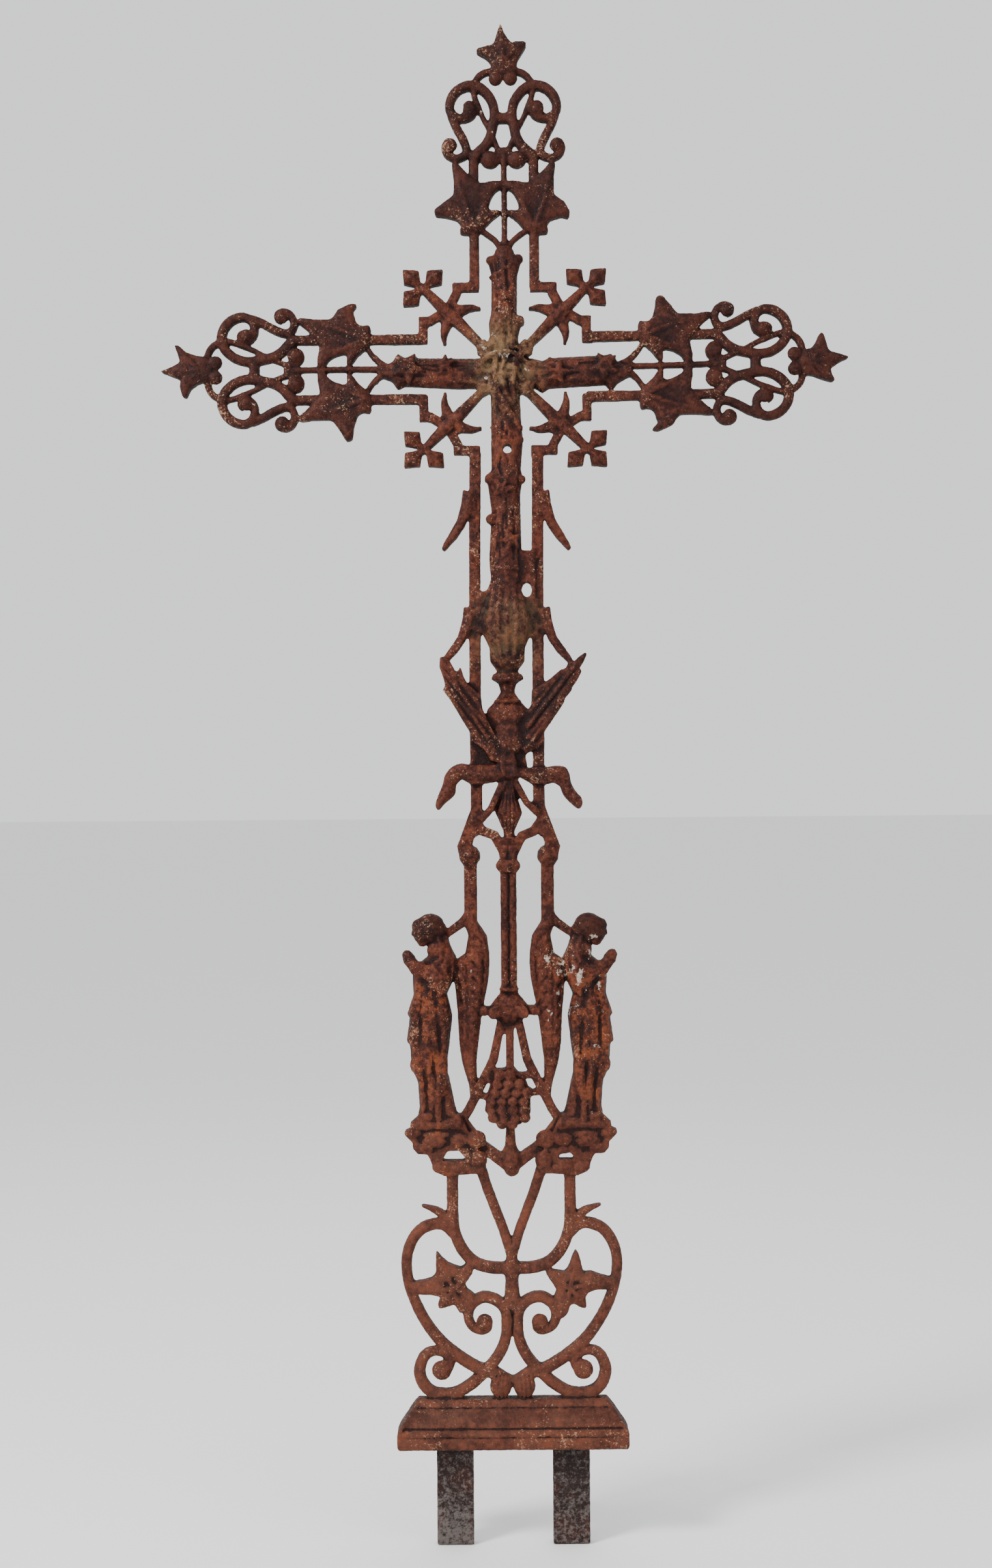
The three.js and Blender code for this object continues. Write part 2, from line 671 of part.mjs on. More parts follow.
function grapes() {
  const rows = [
    { count: 2, middle: -5, z: 317 },
    { count: 3, middle: -2, z: 309.6 },
    { count: 4, middle: 0, z: 302 },
    { count: 4, middle: -3, z: 294.6 },
    { count: 4, middle: -3, z: 287.4 },
    { count: 4, middle: -1.6, z: 281 },
    { count: 2, middle: -3, z: 276 },
  ];
  const berries = rows.flatMap(({ count, middle, z }) => {
    return Array.from({ length: count }, (_, i) => {
      const x = middle + (i - (count - 1) / 2) * BERRY_PITCH;
      const arch = 1 - ((x + 2.5) / 30) ** 2;
      return button([x, z], BERRY_RADIUS, FRONT - 1 - 6 * arch, 6);
    });
  });
  const heart = plate([
    [-13, 322], [4, 322], [13, 312], [17, 302], [17, 284],
    [8, 274], [-12, 274], [-22, 286], [-20, 300], [-16, 312],
  ], FRONT - 2);
  const ties = [
    bar([[-22, 312], [-6, 314]], [5, 5]),
    bar([[20, 316], [6, 316]], [5, 5]),
    bar([[27, 302], [12, 300]], [5.4, 5.4]),
    bar([[-27, 299], [-14, 296]], [5, 5]),
  ];
  return join([heart, ...berries, ...ties]);
}

// Angels: praying figures that face outwards, each with one wing towards the column.
// They are drawn on the left side and mirrored for the right.

const ANGEL_ROBE = [
  [278, -80, -44], [290, -78, -47.6], [311, -79.4, -52], [323, -84.8, -55], [343, -86, -52.2],
  [345.4, -88.8, -52], [366, -86, -49.6], [369, -88.2, -49.8], [386, -82.5, -54], [399, -83.4, -48],
  [409, -82.6, -46], [418, -70.6, -46], [427.4, -66.6, -50.6], [436, -70, -53],
];

const ANGEL_WING = [
  [296, -34.4, -31], [306, -35.4, -28.8], [328, -41.4, -29], [343, -43.6, -27.4], [370, -44.8, -24],
  [394, -47, -19], [402, -49.4, -17.8], [412, -50, -17.2], [421, -38, -17.4], [436, -35.2, -19.4],
  [449, -39.6, -28], [456, -38.8, -27.6],
];

function angel() {
  const robe = relief(ANGEL_ROBE, [9, 10, 11, 12, 12, 11, 10, 8], { facets: 6, folds: 3, foldDepth: 1.3 });
  const plume = relief(ANGEL_WING, [3, 5, 6, 7, 7, 6, 5], { facets: 3 });
  const head = ball([-69.4, -4, 442], [14.6, 10.5, 12.8], -12);
  const brow = ball([-78.6, -4, 444.6], [5.6, 7, 6.4], 0, 6);
  const sleeve = ball([-62.4, -10, 400.6], [11.6, 8, 13.6], -12, 6);
  const forearm = bar([[-62, 398], [-80, 408], [-87, 417.4]], [14, 11, 9], FRONT - 7, FRONT + 6);
  const hands = ball([-85.6, -6, 416], [6, 7, 9.6], -28, 6);
  const link = bar([[-33, 456], [-40, 447.4], [-56, 436]], [8, 7.4, 6.2]);
  return join([robe, plume, head, brow, sleeve, forearm, hands, link]);
}

// Rocky console under an angel, with its half-moon opening
function rockConsole(opening) {
  const body = plate([
    [-39, 275], [-44, 283.6], [-78.8, 282], [-85.3, 276.4], [-85.3, 271.4], [-91.3, 269.2], [-90.7, 266],
    [-84, 259.4], [-84, 254.6], [-80, 249.6], [-71.4, 249.3], [-68.4, 242.6], [-65.6, 234.4],
    [-57, 230.6], [-33, 232.4], [-24, 232], [-20.4, 243], [-30, 256],
  ], FRONT - 4);
  const ledge = relief([[42, 270, 282], [60, 268, 284], [80, 267, 281], [86, 268, 276]], 10, { facets: 4 })
    .rotate([0, -90, 0]);
  const rock = ball([-66, -6, 261], [15, 7, 7], 0, 6);
  const [middle, half, sill, crown] = opening;
  const arch = curve([
    [middle - half, sill], [middle - half * 0.72, sill + crown * 0.72], [middle, sill + crown],
    [middle + half * 0.72, sill + crown * 0.72], [middle + half, sill],
  ]);
  return join([body, ledge, rock]).subtract(plate(arch, -THROUGH, THROUGH));
}

// Lower work: U and V bars, outer hearts, inner spirals, ivy leaves and foot scrolls

function uAndV() {
  const uLine = curve([
    [-50.4, 236], [-50.4, 196], [-48.6, 181], [-42, 166], [-31, 154.6], [-16, 150.4], [1, 151.4],
  ]);
  const uBar = bar(uLine, [U_WIDTH, U_WIDTH, U_WIDTH, U_WIDTH + 1.4]);
  const vLine = curve([[-26, 236], [-20, 217.6], [-13, 199], [-6.6, 182], [0, 158]]);
  const vBar = bar(vLine, [V_WIDTH + 0.4, V_WIDTH]);
  const half = uBar.add(vBar);
  const post = plate([
    [-6.2, 148], [3.8, 148], [4.6, 143], [3.2, 137], [5, 124], [-6.8, 124], [-5.4, 137], [-7, 143],
  ]);
  const knot = plate([[-4.6, 152], [3.4, 152], [3, 166], [-4.2, 166]]);
  return join([half, mirrored(half), post, knot]);
}

function hearts() {
  const strand = bar(curve([
    [-50, 182], [-57, 187], [-66, 188.4], [-77.6, 183.6], [-86, 173.4], [-89.8, 160], [-89.8, 146],
    [-85.8, 129], [-78.4, 112], [-69, 97], [-57.6, 84], [-44, 73.4], [-30, 65], [-18, 60.6],
  ]), [10, 9.8, 9.4, 9.2, 9.2, HEART_WIDTH, 10.4, 10.4, 9]);
  const thorn = bar(curve([[-54, 192], [-62, 198.6], [-69, 201.6], [-76, 203.4]]), [9, 6.4, 1.8]);
  const spiral = bar(curve([
    [-17.6, 101], [-26, 96.4], [-35.4, 100.6], [-38, 110], [-34.6, 119.4], [-25, 125.6], [-14, 123],
    [-6.4, 115], [-4.6, 104], [-5.4, 91], [-9.6, 79.6], [-16, 70], [-26, 59.4], [-36, 50.6], [-48, 43.6],
    [-60, 42.4], [-71, 45.6], [-78, 54], [-79.4, 66], [-75, 76.4], [-66.6, 81], [-56.6, 77], [-51.6, 69],
  ]), [7, 8.4, 9.6, 10, 9.4, 9.2, 9.4, 9.6, 9.6, 10, 10, 10, 10.6, 10.6, 9, 8]);
  const eyes = [
    button([-23.6, 105], 7.2, FRONT - 1.6),
    button([-60.6, 64.2], 8.8, FRONT - 2.2),
  ];
  return join([strand, thorn, spiral, ...eyes]);
}

const LOW_LEAF = [
  [-64.9, 164.8], [-60, 160], [-54, 155], [-44, 151.4], [-37.6, 155], [-33.4, 148], [-36.4, 143],
  [-40, 137.4], [-38.6, 133], [-32, 127], [-38, 116], [-44.4, 112.6], [-49.4, 119.6], [-53.4, 118.6],
  [-62, 116.6], [-63.6, 120], [-61.6, 126.4], [-68, 128], [-76.6, 128.6], [-85, 130], [-84, 138.6],
  [-75.4, 140.6], [-69, 142.4], [-65.2, 147],
];

function lowLeaf() {
  return plate(LOW_LEAF, FRONT - LEAF_RELIEF);
}

function cheeks() {
  const tubs = [[-10.6, 49], [8.8, 49]].map(([x, z]) => ball([x, -1, z], [10, 9, 11.6], 0, 6));
  const webs = [-1, 1].map((side) => bar([[20 * side, 66], [8 * side, 57], [-2 * side, 52]], [9, 9, 8]));
  return join([...tubs, ...webs]);
}

// Moulded foot with mitred ends, and the two tangs below it

function foot() {
  const ends = [
    [-FOOT_HALF + 1.4, 0], [FOOT_HALF - 1.4, 0], [FOOT_HALF, 3], [FOOT_HALF, FOOT_STEP - 1],
    [FOOT_HALF - 2.6, FOOT_STEP + 4], [FOOT_HALF - 7.4, FOOT_TOP - 14], [FOOT_HALF - 12, FOOT_TOP - 7],
    [FOOT_TOP_HALF, FOOT_TOP], [-FOOT_TOP_HALF, FOOT_TOP], [-FOOT_HALF + 12, FOOT_TOP - 7],
    [-FOOT_HALF + 7.4, FOOT_TOP - 14], [-FOOT_HALF + 2.6, FOOT_STEP + 4], [-FOOT_HALF, FOOT_STEP - 1],
    [-FOOT_HALF, 3],
  ];
  const profile = [
    [FOOT_BACK, 0], [FOOT_BACK, FOOT_TOP], [FRONT - 3, FOOT_TOP], [FRONT - 8, FOOT_TOP - 7],
    [FRONT - 12, FOOT_TOP - 14], [FOOT_FRONT + 3, FOOT_STEP + 3], [FOOT_FRONT + 1.4, FOOT_STEP],
    [FOOT_FRONT + 1.4, FOOT_STEP - 3], [FOOT_FRONT, FOOT_STEP - 5], [FOOT_FRONT, 2], [FOOT_FRONT + 1.6, 0],
  ];
  const across = plate(ends, FOOT_FRONT - 1, FOOT_BACK + 1);
  return across.intersect(plate(profile, -FOOT_HALF - 1, FOOT_HALF + 1).rotate([0, 0, 90]));
}

function tangs() {
  const depth = TANG_BACK - TANG_FRONT;
  return [-1, 1].map((side) => {
    const geometry = new THREE.BoxGeometry(TANG_WIDTH, depth, TANG_LENGTH + 4);
    geometry.translate(side * TANG_PLACE, TANG_FRONT + depth / 2, 2 - TANG_LENGTH / 2);
    return solidOf(geometry);
  });
}

// Short hangers between the volutes and the angels' wings
function hangers() {
  const inner = HANGER_PLACE - HANGER_WIDTH / 2;
  const outer = HANGER_PLACE + HANGER_WIDTH / 2;
  const right = plate([[inner, HANGER_FOOT], [outer, HANGER_FOOT], [outer, HANGER_TOP], [inner, HANGER_TOP]]);
  return right.add(mirrored(right));
}

// The casting

function openwork() {
  const leftConsole = rockConsole([-49, 10.4, 243.8, 9.6]);
  const rightConsole = mirrored(rockConsole([-47.6, 7.6, 244.4, 6.4]));
  const leftHeart = join([hearts(), lowLeaf()]);
  const wingFlaw = new THREE.CylinderGeometry(FLAW_RADIUS, FLAW_RADIUS, THROUGH, 6);
  wingFlaw.translate(35, 0, 360.4);
  const rightAngel = mirrored(angel()).subtract(solidOf(wingFlaw));
  const parts = [
    ...ARMS.map(arm),
    frets(),
    trunk(),
    drapery(),
    shaft(),
    vase(),
    urnWings(),
    ribbon(),
    calyx(),
    column(),
    hangers(),
    rhomb(),
    grapes(),
    angel(),
    rightAngel,
    leftConsole,
    rightConsole,
    uAndV(),
    leftHeart,
    mirrored(leftHeart),
    cheeks(),
  ];
  const behind = new THREE.BoxGeometry(CUT_SIZE, CUT_SIZE, CUT_SIZE);
  behind.translate(0, BACK + CUT_SIZE / 2, 0);
  return join(parts).subtract(solidOf(behind));
}

const casting = join([openwork(), foot(), ...tangs()]);
const surface = casting.getMesh();
const geometry = new THREE.BufferGeometry();
geometry.setAttribute('position', new THREE.BufferAttribute(surface.vertProperties, 3));
geometry.setIndex(new THREE.BufferAttribute(surface.triVerts, 1));
const cross = new THREE.Mesh(mergeVertices(geometry), CAST_IRON);
cross.name = 'grave_cross';
const group = new THREE.Group();
group.add(cross);

export default group;
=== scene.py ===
"""A rusted cast iron grave cross: its cast surface, its rust and its studio.

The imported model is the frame. Its solid is fused with the finer relief of the casting, such as grapes,
ivy, folds and veins, and the one surface that results stands for it.
Sizes are in millimetres in the relief's tables, and in metres in Blender.
"""

import logging
import math
from collections.abc import Iterable, Sequence
from dataclasses import dataclass, field
from enum import Enum

import bmesh
import bpy
import numpy as np
from mathutils import Matrix, Vector
from mathutils.geometry import tessellate_polygon

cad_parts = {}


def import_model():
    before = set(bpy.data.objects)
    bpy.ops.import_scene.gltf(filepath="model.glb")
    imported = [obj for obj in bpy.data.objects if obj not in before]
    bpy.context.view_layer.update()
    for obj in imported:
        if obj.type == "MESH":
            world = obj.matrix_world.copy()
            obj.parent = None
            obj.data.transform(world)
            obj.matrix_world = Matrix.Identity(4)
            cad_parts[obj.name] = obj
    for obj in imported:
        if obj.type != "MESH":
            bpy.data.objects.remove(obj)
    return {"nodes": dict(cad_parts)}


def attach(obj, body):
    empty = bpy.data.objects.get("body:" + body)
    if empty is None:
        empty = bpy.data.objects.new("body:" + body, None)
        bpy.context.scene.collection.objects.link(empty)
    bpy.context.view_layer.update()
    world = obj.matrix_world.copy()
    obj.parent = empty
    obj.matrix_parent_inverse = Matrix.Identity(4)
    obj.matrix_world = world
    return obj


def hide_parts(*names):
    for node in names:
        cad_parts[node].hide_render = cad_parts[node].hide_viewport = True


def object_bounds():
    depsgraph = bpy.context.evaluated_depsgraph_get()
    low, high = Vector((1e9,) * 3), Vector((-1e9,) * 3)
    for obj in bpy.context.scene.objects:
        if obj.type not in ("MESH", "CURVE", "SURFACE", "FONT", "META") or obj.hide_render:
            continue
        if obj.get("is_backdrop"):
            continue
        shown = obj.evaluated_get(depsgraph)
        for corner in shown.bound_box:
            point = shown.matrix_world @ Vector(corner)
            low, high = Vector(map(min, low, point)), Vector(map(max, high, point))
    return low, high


LOG = logging.getLogger("grave_cross")
MM = 0.001
NODE = "grave_cross"
HOLLOW = "hollow"
PAINTED_SHADE = "painted_side_shade"

Point2 = tuple[float, float]
Point3 = tuple[float, float, float]


class Finish(Enum):
    """The named surfaces of the scene."""

    RUST = "rusted_iron"
    FLOOR = "pale_floor"


@dataclass(frozen=True)
class Casting:
    """How finely the casting's surface is made, in metres.

    Attributes:
        voxel: Size of the voxels that fuse the relief with the solid.
        smoothing: Rounds of smoothing after the fusing.
        pitting: Depth of the rust pits.
        pit_size: Size of the rust pits.
        waviness: Height of the slow unevenness that sand moulds leave.
        wave_size: Size of that unevenness.
        triangles: The most triangles that the finished surface may have.
    """

    voxel: float = 0.0011
    smoothing: int = 2
    pitting: float = 0.0006
    pit_size: float = 0.0022
    waviness: float = 0.0005
    wave_size: float = 0.011
    triangles: int = 190000


@dataclass(frozen=True)
class Ridge:
    """A raised line over the front of the casting, or a groove where its height is negative.

    Attributes:
        points: The line's points across and up, in millimetres.
        width: Half its width.
        height: How far it stands out.
        end: Its height at the last point, as a share of the height at the first.
    """

    points: tuple[Point2, ...]
    width: float
    height: float
    end: float = 1.0


def ridge(points: Iterable[Point2], width: float, height: float, end: float = 1.0) -> Ridge:
    """Returns a ridge along any points across and up, in millimetres."""
    return Ridge(tuple((float(x), float(z)) for x, z in points), width, height, end)


@dataclass(frozen=True)
class Lump:
    """A rounded lump that is fused with the casting, in millimetres and degrees.

    Attributes:
        centre: Its middle.
        radii: Its half sizes across, back and up.
        turn: Its turn about the front-to-back axis.
    """

    centre: Point3
    radii: Point3
    turn: float = 0.0


@dataclass(frozen=True)
class Cord:
    """A round cord that is fused with the casting, in millimetres.

    Attributes:
        points: The points that it follows.
        radius: Its radius.
        taper: Its radius at the last point, as a share of the first.
    """

    points: tuple[Point3, ...]
    radius: float
    taper: float = 1.0


@dataclass(frozen=True)
class Bar:
    """A flat-backed bar with a rounded front that follows a smooth line, in millimetres.

    Attributes:
        points: The line's points across and up.
        widths: The bar's widths, spread evenly along the line.
        front: How far forward its crown stands.
    """

    points: tuple[Point2, ...]
    widths: tuple[float, ...]
    front: float = -5.4


@dataclass(frozen=True)
class Plate:
    """A flat-backed plate with a pillowed front, such as a leaf, in millimetres.

    Attributes:
        outline: Its outline's points across and up.
        front: Where its front edge is.
        swell: How far its middle stands in front of that edge.
        reach: How far from the edge the swell is complete.
        rounding: How much the outline is smoothed between its points, 0 to 1.
    """

    outline: tuple[Point2, ...]
    front: float = -5.6
    swell: float = 2.2
    reach: float = 6.0
    rounding: float = 0.55


@dataclass(frozen=True)
class Relief:
    """What one sub-assembly adds to the casting.

    Attributes:
        lumps: Its rounded lumps.
        cords: Its cords.
        ridges: Its lines.
        bars: Its bars.
        plates: Its plates.
    """

    lumps: tuple[Lump, ...] = ()
    cords: tuple[Cord, ...] = ()
    ridges: tuple[Ridge, ...] = ()
    bars: tuple[Bar, ...] = ()
    plates: tuple[Plate, ...] = ()

    def mirrored(self) -> "Relief":
        """Returns the relief on the other side of the middle line.

        Returns:
            The mirrored relief.
        """
        return Relief(
            tuple(Lump((-b.centre[0], *b.centre[1:]), b.radii, -b.turn) for b in self.lumps),
            tuple(Cord(tuple((-x, y, z) for x, y, z in c.points), c.radius, c.taper) for c in self.cords),
            tuple(Ridge(flip(r.points), r.width, r.height, r.end) for r in self.ridges),
            tuple(Bar(flip(b.points), b.widths, b.front) for b in self.bars),
            tuple(Plate(flip(p.outline), p.front, p.swell, p.reach, p.rounding) for p in self.plates),
        )


def flip(points: Iterable[Point2]) -> tuple[Point2, ...]:
    """Returns points across and up on the other side of the middle line."""
    return tuple((-x, z) for x, z in points)


def smooth_line(
    points: Sequence[Point2], step: float = 0.8, closed: bool = False, ease: float = 1.0
) -> np.ndarray:
    """Returns a smooth line through points.

    Args:
        points: The points.
        step: Distance between the line's points.
        closed: Whether it runs round to its start.
        ease: 1 for a smooth curve and 0 for straight stretches.

    Returns:
        The line's points, one row each.
    """
    knots = np.array(points, dtype=float)
    count = len(knots)
    rows = []
    for i in range(count if closed else count - 1):
        around = (i - 1, i, i + 1, i + 2)
        a, b, c, d = (knots[k % count if closed else min(max(k, 0), count - 1)] for k in around)
        steps = max(2, round(np.linalg.norm(c - b) / step))
        for share in np.arange(steps) / steps:
            curved = 0.5 * (2 * b + (c - a) * share + (2 * a - 5 * b + 4 * c - d) * share**2
                            + (3 * b - a - 3 * c + d) * share**3)
            rows.append(ease * curved + (1 - ease) * (b + (c - b) * share))
    if not closed:
        rows.append(knots[-1])
    return np.array(rows)


@dataclass(frozen=True)
class Arm:
    """One of the three short arms, drawn upwards from the crossing and turned into place.

    Attributes:
        turn: Turn about the front-to-back axis, in degrees, from upright towards the right.
        crossing: Height of the crossing.
        rail: Half the spacing of the two rails.
        rail_end: Where the rails end.
        leaf: Where the leaves over the rails begin.
        tips: The long lobes' tips of the leaf on the positive and negative side.
        lean: How far across the star's upper tip stands.
        lobes: The tips of the star's right and left lobes.
        star: Where the star of leaves at the arm's tip begins and ends.
        eyes: The scroll eyes of one side: across, out, radius and how far forward they stand.
    """

    turn: float
    tips: tuple[Point2, Point2]
    lean: float
    lobes: tuple[Point2, Point2]
    crossing: float = 922.5
    rail: float = 25.7
    rail_end: float = 183.5
    leaf: float = 116.0
    star: Point2 = (257.0, 295.0)
    eyes: tuple[tuple[float, float, float, float], ...] = (
        (28.9, 222.0, 6.0, -4.2), (44.8, 191.2, 5.4, -3.8), (6.4, 248.2, 6.0, -3.4), (11.4, 180.4, 6.2, -2.8),
    )

    def place(self, across: float, out: float) -> Point2:
        """Turns a point of the upright arm into its place.

        Args:
            across: Distance from the arm's middle line.
            out: Distance from the crossing.

        Returns:
            The point across and up.
        """
        angle = math.radians(self.turn)
        x = across * math.cos(angle) + out * math.sin(angle)
        z = out * math.cos(angle) - across * math.sin(angle)
        return x, self.crossing + z

    def line(self, points: Iterable[Point2], width: float, height: float, end: float = 1.0) -> Ridge:
        """Returns a ridge, drawn by points across and out on the upright arm, in its place."""
        return ridge([self.place(u, r) for u, r in points], width, height, end)

    def leaf_lines(self, side: int, tip: Point2) -> list[Ridge]:
        """Returns the veins and hollows of the leaf over one rail.

        Args:
            side: 1 or -1, the rail's side.
            tip: The tip of the leaf's long lobe.

        Returns:
            The ridges.
        """
        base = self.leaf
        root = (self.rail, base + 4)
        lobes = [(self.rail + 16, base + 56), (tip[0] - 3, tip[1] - 2), (4, base + 42), (7, base + 18)]
        veins = []
        for end in lobes:
            middle = ((root[0] + end[0]) / 2 + 1.4, (root[1] + end[1]) / 2)
            veins.append(self.line([(side * u, r) for u, r in (root, middle, end)], 2.6, 1.3, 0.3))
        hollows = [[(self.rail + 3, base + 20), (self.rail + 12, base + 34)],
                   [(self.rail + 10, base + 14), (self.rail + 20, base + 19)],
                   [(self.rail - 4, base + 24), (self.rail - 9, base + 36)]]
        veins += [self.line([(side * u, r) for u, r in line], 5.2, -0.3, 0.6) for line in hollows]
        return veins

    def bars(self, side: int) -> list[Bar]:
        """Returns the rail, scrolls, lyre and strut of one side.

        Args:
            side: 1 or -1.

        Returns:
            The bars.
        """
        tables = [
            ([(self.rail, 96), (self.rail, 140), (self.rail, self.rail_end)], [8.6], -5.2),
            ([(25.7, 181.5), (21.5, 186), (16, 191), (11.5, 198.5), (9.3, 207.5), (7.6, 217.5), (8.6, 226.5),
              (12.6, 234.5), (19.5, 241.1), (28, 243.3), (37, 240.5), (43.4, 233.9), (46, 225), (43.6, 218.5),
              (38, 215.3), (31, 215.3), (26, 219), (25.6, 224.8), (29.6, 227.6), (33, 224.6)],
             [9, 8.6, 8.6, 8.2, 8.4, 8.6, 8.4, 7.4, 6.6, 4.6], -6.4),
            ([(44.8, 218), (41, 209), (36.6, 201), (33, 193.5), (31.6, 187), (34.5, 182.5), (41, 180.9),
              (47.6, 183.7), (50.4, 189.5), (48.2, 195), (43.6, 195), (41.8, 191)],
             [7, 7.4, 7.6, 7.4, 6.8, 6.4, 5.4, 4.4], -6),
            ([(3.6, 252.4), (9, 255), (15, 254.6), (21, 250.6), (25, 243.5), (24.8, 235.5), (21.2, 225.5),
              (17.2, 215.5), (12.8, 207), (8.6, 198), (5.4, 189.5), (4.6, 182), (7.4, 176), (13, 174.8),
              (17, 178.6), (15.8, 183.6)],
             [5.6, 6, 5.6, 4.8, 4.6, 4.4, 4.4, 4.8, 5, 4.8], -4.2),
            ([(self.rail - 4, self.leaf + 4), (13, self.leaf - 1.4), (6, self.leaf - 8), (2, 98)],
             [4.6], -4.4),
        ]
        return [Bar(tuple(self.place(side * u, r) for u, r in line), tuple(widths), front)
                for line, widths, front in tables]

    def leaf_plate(self, side: int, tip: Point2) -> Plate:
        """Returns the leaf over one rail.

        Args:
            side: 1 or -1.
            tip: The tip of its long lobe.

        Returns:
            The plate.
        """
        e, r = self.rail, self.leaf
        outline = [
            (e + 18.6, r + 60), (e + 17.4, r + 48), (e + 17.4, r + 34), (e + 21, r + 30), (e + 26, r + 26.4),
            tip, (tip[0] - 1.6, tip[1] - 5), (e + 24, r + 14), (e + 19, r + 12.6), (e + 14, r + 11),
            (e + 11.4, r + 7), (e + 12, r + 0.5), (e + 7.6, r - 1), (e - 4, r + 0.6), (e - 7.2, r + 2.5),
            (e - 11.4, r + 7), (e - 14.4, r + 10.4), (3.6, r + 16.4), (4.4, r + 19.6), (e - 13.6, r + 19.6),
            (e - 12.8, r + 23.4), (e - 14.8, r + 30), (e - 18.4, r + 35.6), (1.5, r + 39.4), (1.5, r + 44.4),
            (e - 16.6, r + 44.8), (e - 9, r + 43.4), (e - 3, r + 43.6), (e + 4.4, r + 50), (e + 9.4, r + 55),
            (e + 14, r + 60.4),
        ]
        return Plate(tuple(self.place(side * u, out) for u, out in outline))

    def star_plate(self) -> Plate:
        """Returns the star of leaves at the arm's tip.

        Returns:
            The plate.
        """
        low, high = self.star
        tip = self.lean
        (ru, rr), (lu, lr) = self.lobes
        outline = [
            (tip, high), (tip + 3, high - 7), (6.8, high - 15.6), (12, high - 15), (ru, rr + 1.6),
            (ru + 0.6, rr - 1.4), (16, rr - 8), (12.5, low + 7), (11, low - 1), (0, low - 6), (-9, low - 1),
            (-11, low + 6), (-16, lr - 5), (lu - 0.6, lr - 1.4), (lu, lr + 1.6), (-14, lr + 4),
            (-8, high - 16.5), (tip - 3, high - 7),
        ]
        return Plate(tuple(self.place(u, out) for u, out in outline))

    def relief(self) -> Relief:
        """Returns the whole arm outside the crossing.

        Returns:
            The relief.
        """
        lines = self.leaf_lines(1, self.tips[0]) + self.leaf_lines(-1, self.tips[1])
        low, high = self.star
        for end in ((-1.6, high - 4), (17, high - 17), (-19, high - 22)):
            lines.append(self.line([(0, low + 6), end], 2.4, 1.2, 0.3))
        lines.append(self.line([(-7, low + 8), (-12, low + 13)], 3, -1))
        lines.append(self.line([(7, low + 8), (12, low + 14)], 3, -1))
        lumps = []
        bars = []
        for side in (1, -1):
            for u, r, size, y in self.eyes:
                x, z = self.place(side * u, r)
                lumps.append(Lump((x, y, z), (size, 5.4, size)))
            bars += self.bars(side)
        rod = [(0, 98), (0.4, 130), (0, self.rail_end + 3)]
        tie = [(-5, self.rail_end + 2.4), (0, self.rail_end + 3), (5, self.rail_end + 2.4)]
        collar = [(-6.5, 215.5), (0, 215.2), (6.5, 215.5)]
        for line, width, front in ((rod, 5, -4.6), (tie, 7.4, -4.8), (collar, 9, -5.8)):
            bars.append(Bar(tuple(self.place(u, r) for u, r in line), (width,), front))
        plates = (self.leaf_plate(1, self.tips[0]), self.leaf_plate(-1, self.tips[1]), self.star_plate())
        return Relief(tuple(lumps), (), tuple(lines), tuple(bars), plates)


@dataclass(frozen=True)
class Corner:
    """A corner fret: square petals, a ray and thorns, drawn in the upper right corner.

    Attributes:
        crossing: Height of the crossing.
        flower: Place of the petals' middle from the crossing.
        petal: Outline of a petal from the flower's middle.
        ray: The points of the ray from the crossing outwards.
        thorn: The points of the lower thorn.
        boss: Place of the rosette.
        pips: Number of lumps round the rosette.
    """

    crossing: float = 922.5
    flower: Point2 = (70.0, 69.3)
    petal: tuple[Point2, ...] = (
        (1.6, 1.2), (4.2, 8), (3.2, 14.6), (9.6, 13.6), (17.4, 15.8), (15.4, 9.4), (16.6, 3), (9, 3.8),
    )
    ray: tuple[Point2, ...] = ((13, 13), (30, 31), (42, 43), (53, 52), (70.0, 69.3))
    thorn: tuple[Point2, ...] = ((50, 47), (42, 48.4), (34, 51.2), (27, 52.4), (20.4, 50.6))
    boss: Point2 = (17.6, 16.4)
    pips: int = 5

    def quarter(self, side: int, rise: int) -> Relief:
        """Returns one corner.

        Args:
            side: 1 or -1, to the right or the left.
            rise: 1 or -1, above or below the crossing.

        Returns:
            The relief.
        """
        def put(a: float, b: float) -> Point2:
            """Returns a point of the upper right corner in its place."""
            return side * a, self.crossing + rise * b

        lines = []
        plates = []
        fx, fz = self.flower
        for a, b in ((1, 1), (-1, 1), (1, -1)):
            outline = tuple(put(fx + a * u, fz + b * v) for u, v in self.petal)
            plates.append(Plate(outline, -5.8, 3.4, 7.2, 0.35))
            middle = put(fx + 9.2 * a, fz + 8.8 * b)
            for u, v in ((2, 2), (3.4, 13.6), (16.8, 15.2), (16, 3)):
                lines.append(ridge([middle, put(fx + u * a, fz + v * b)], 1.5, 0.9, 0.5))
        bars = [Bar(tuple(put(a, b) for a, b in self.ray), (6.6, 7, 9.2, 8.4, 4.8), -8.4)]
        for thorn in (self.thorn, [(b, a) for a, b in self.thorn]):
            bars.append(Bar(tuple(put(a, b) for a, b in thorn), (7, 9.6, 8.6, 5.4, 1.2), -6.8))
        bx, bz = put(*self.boss)
        lumps = [Lump((bx, -5.6, bz), (6.8, 6.2, 6.8)), Lump((bx, -11.4, bz), (2, 2.6, 2))]
        for pip in range(self.pips):
            angle = pip * 2 * math.pi / self.pips + 0.4
            spot = (bx + 4.9 * math.cos(angle), -9, bz + 4.9 * math.sin(angle))
            lumps.append(Lump(spot, (2.7, 3.2, 2.7)))
        return Relief(tuple(lumps), (), tuple(lines), tuple(bars), tuple(plates))

    def reliefs(self) -> list[Relief]:
        """Returns the four corners."""
        return [self.quarter(side, rise) for side in (1, -1) for rise in (1, -1)]


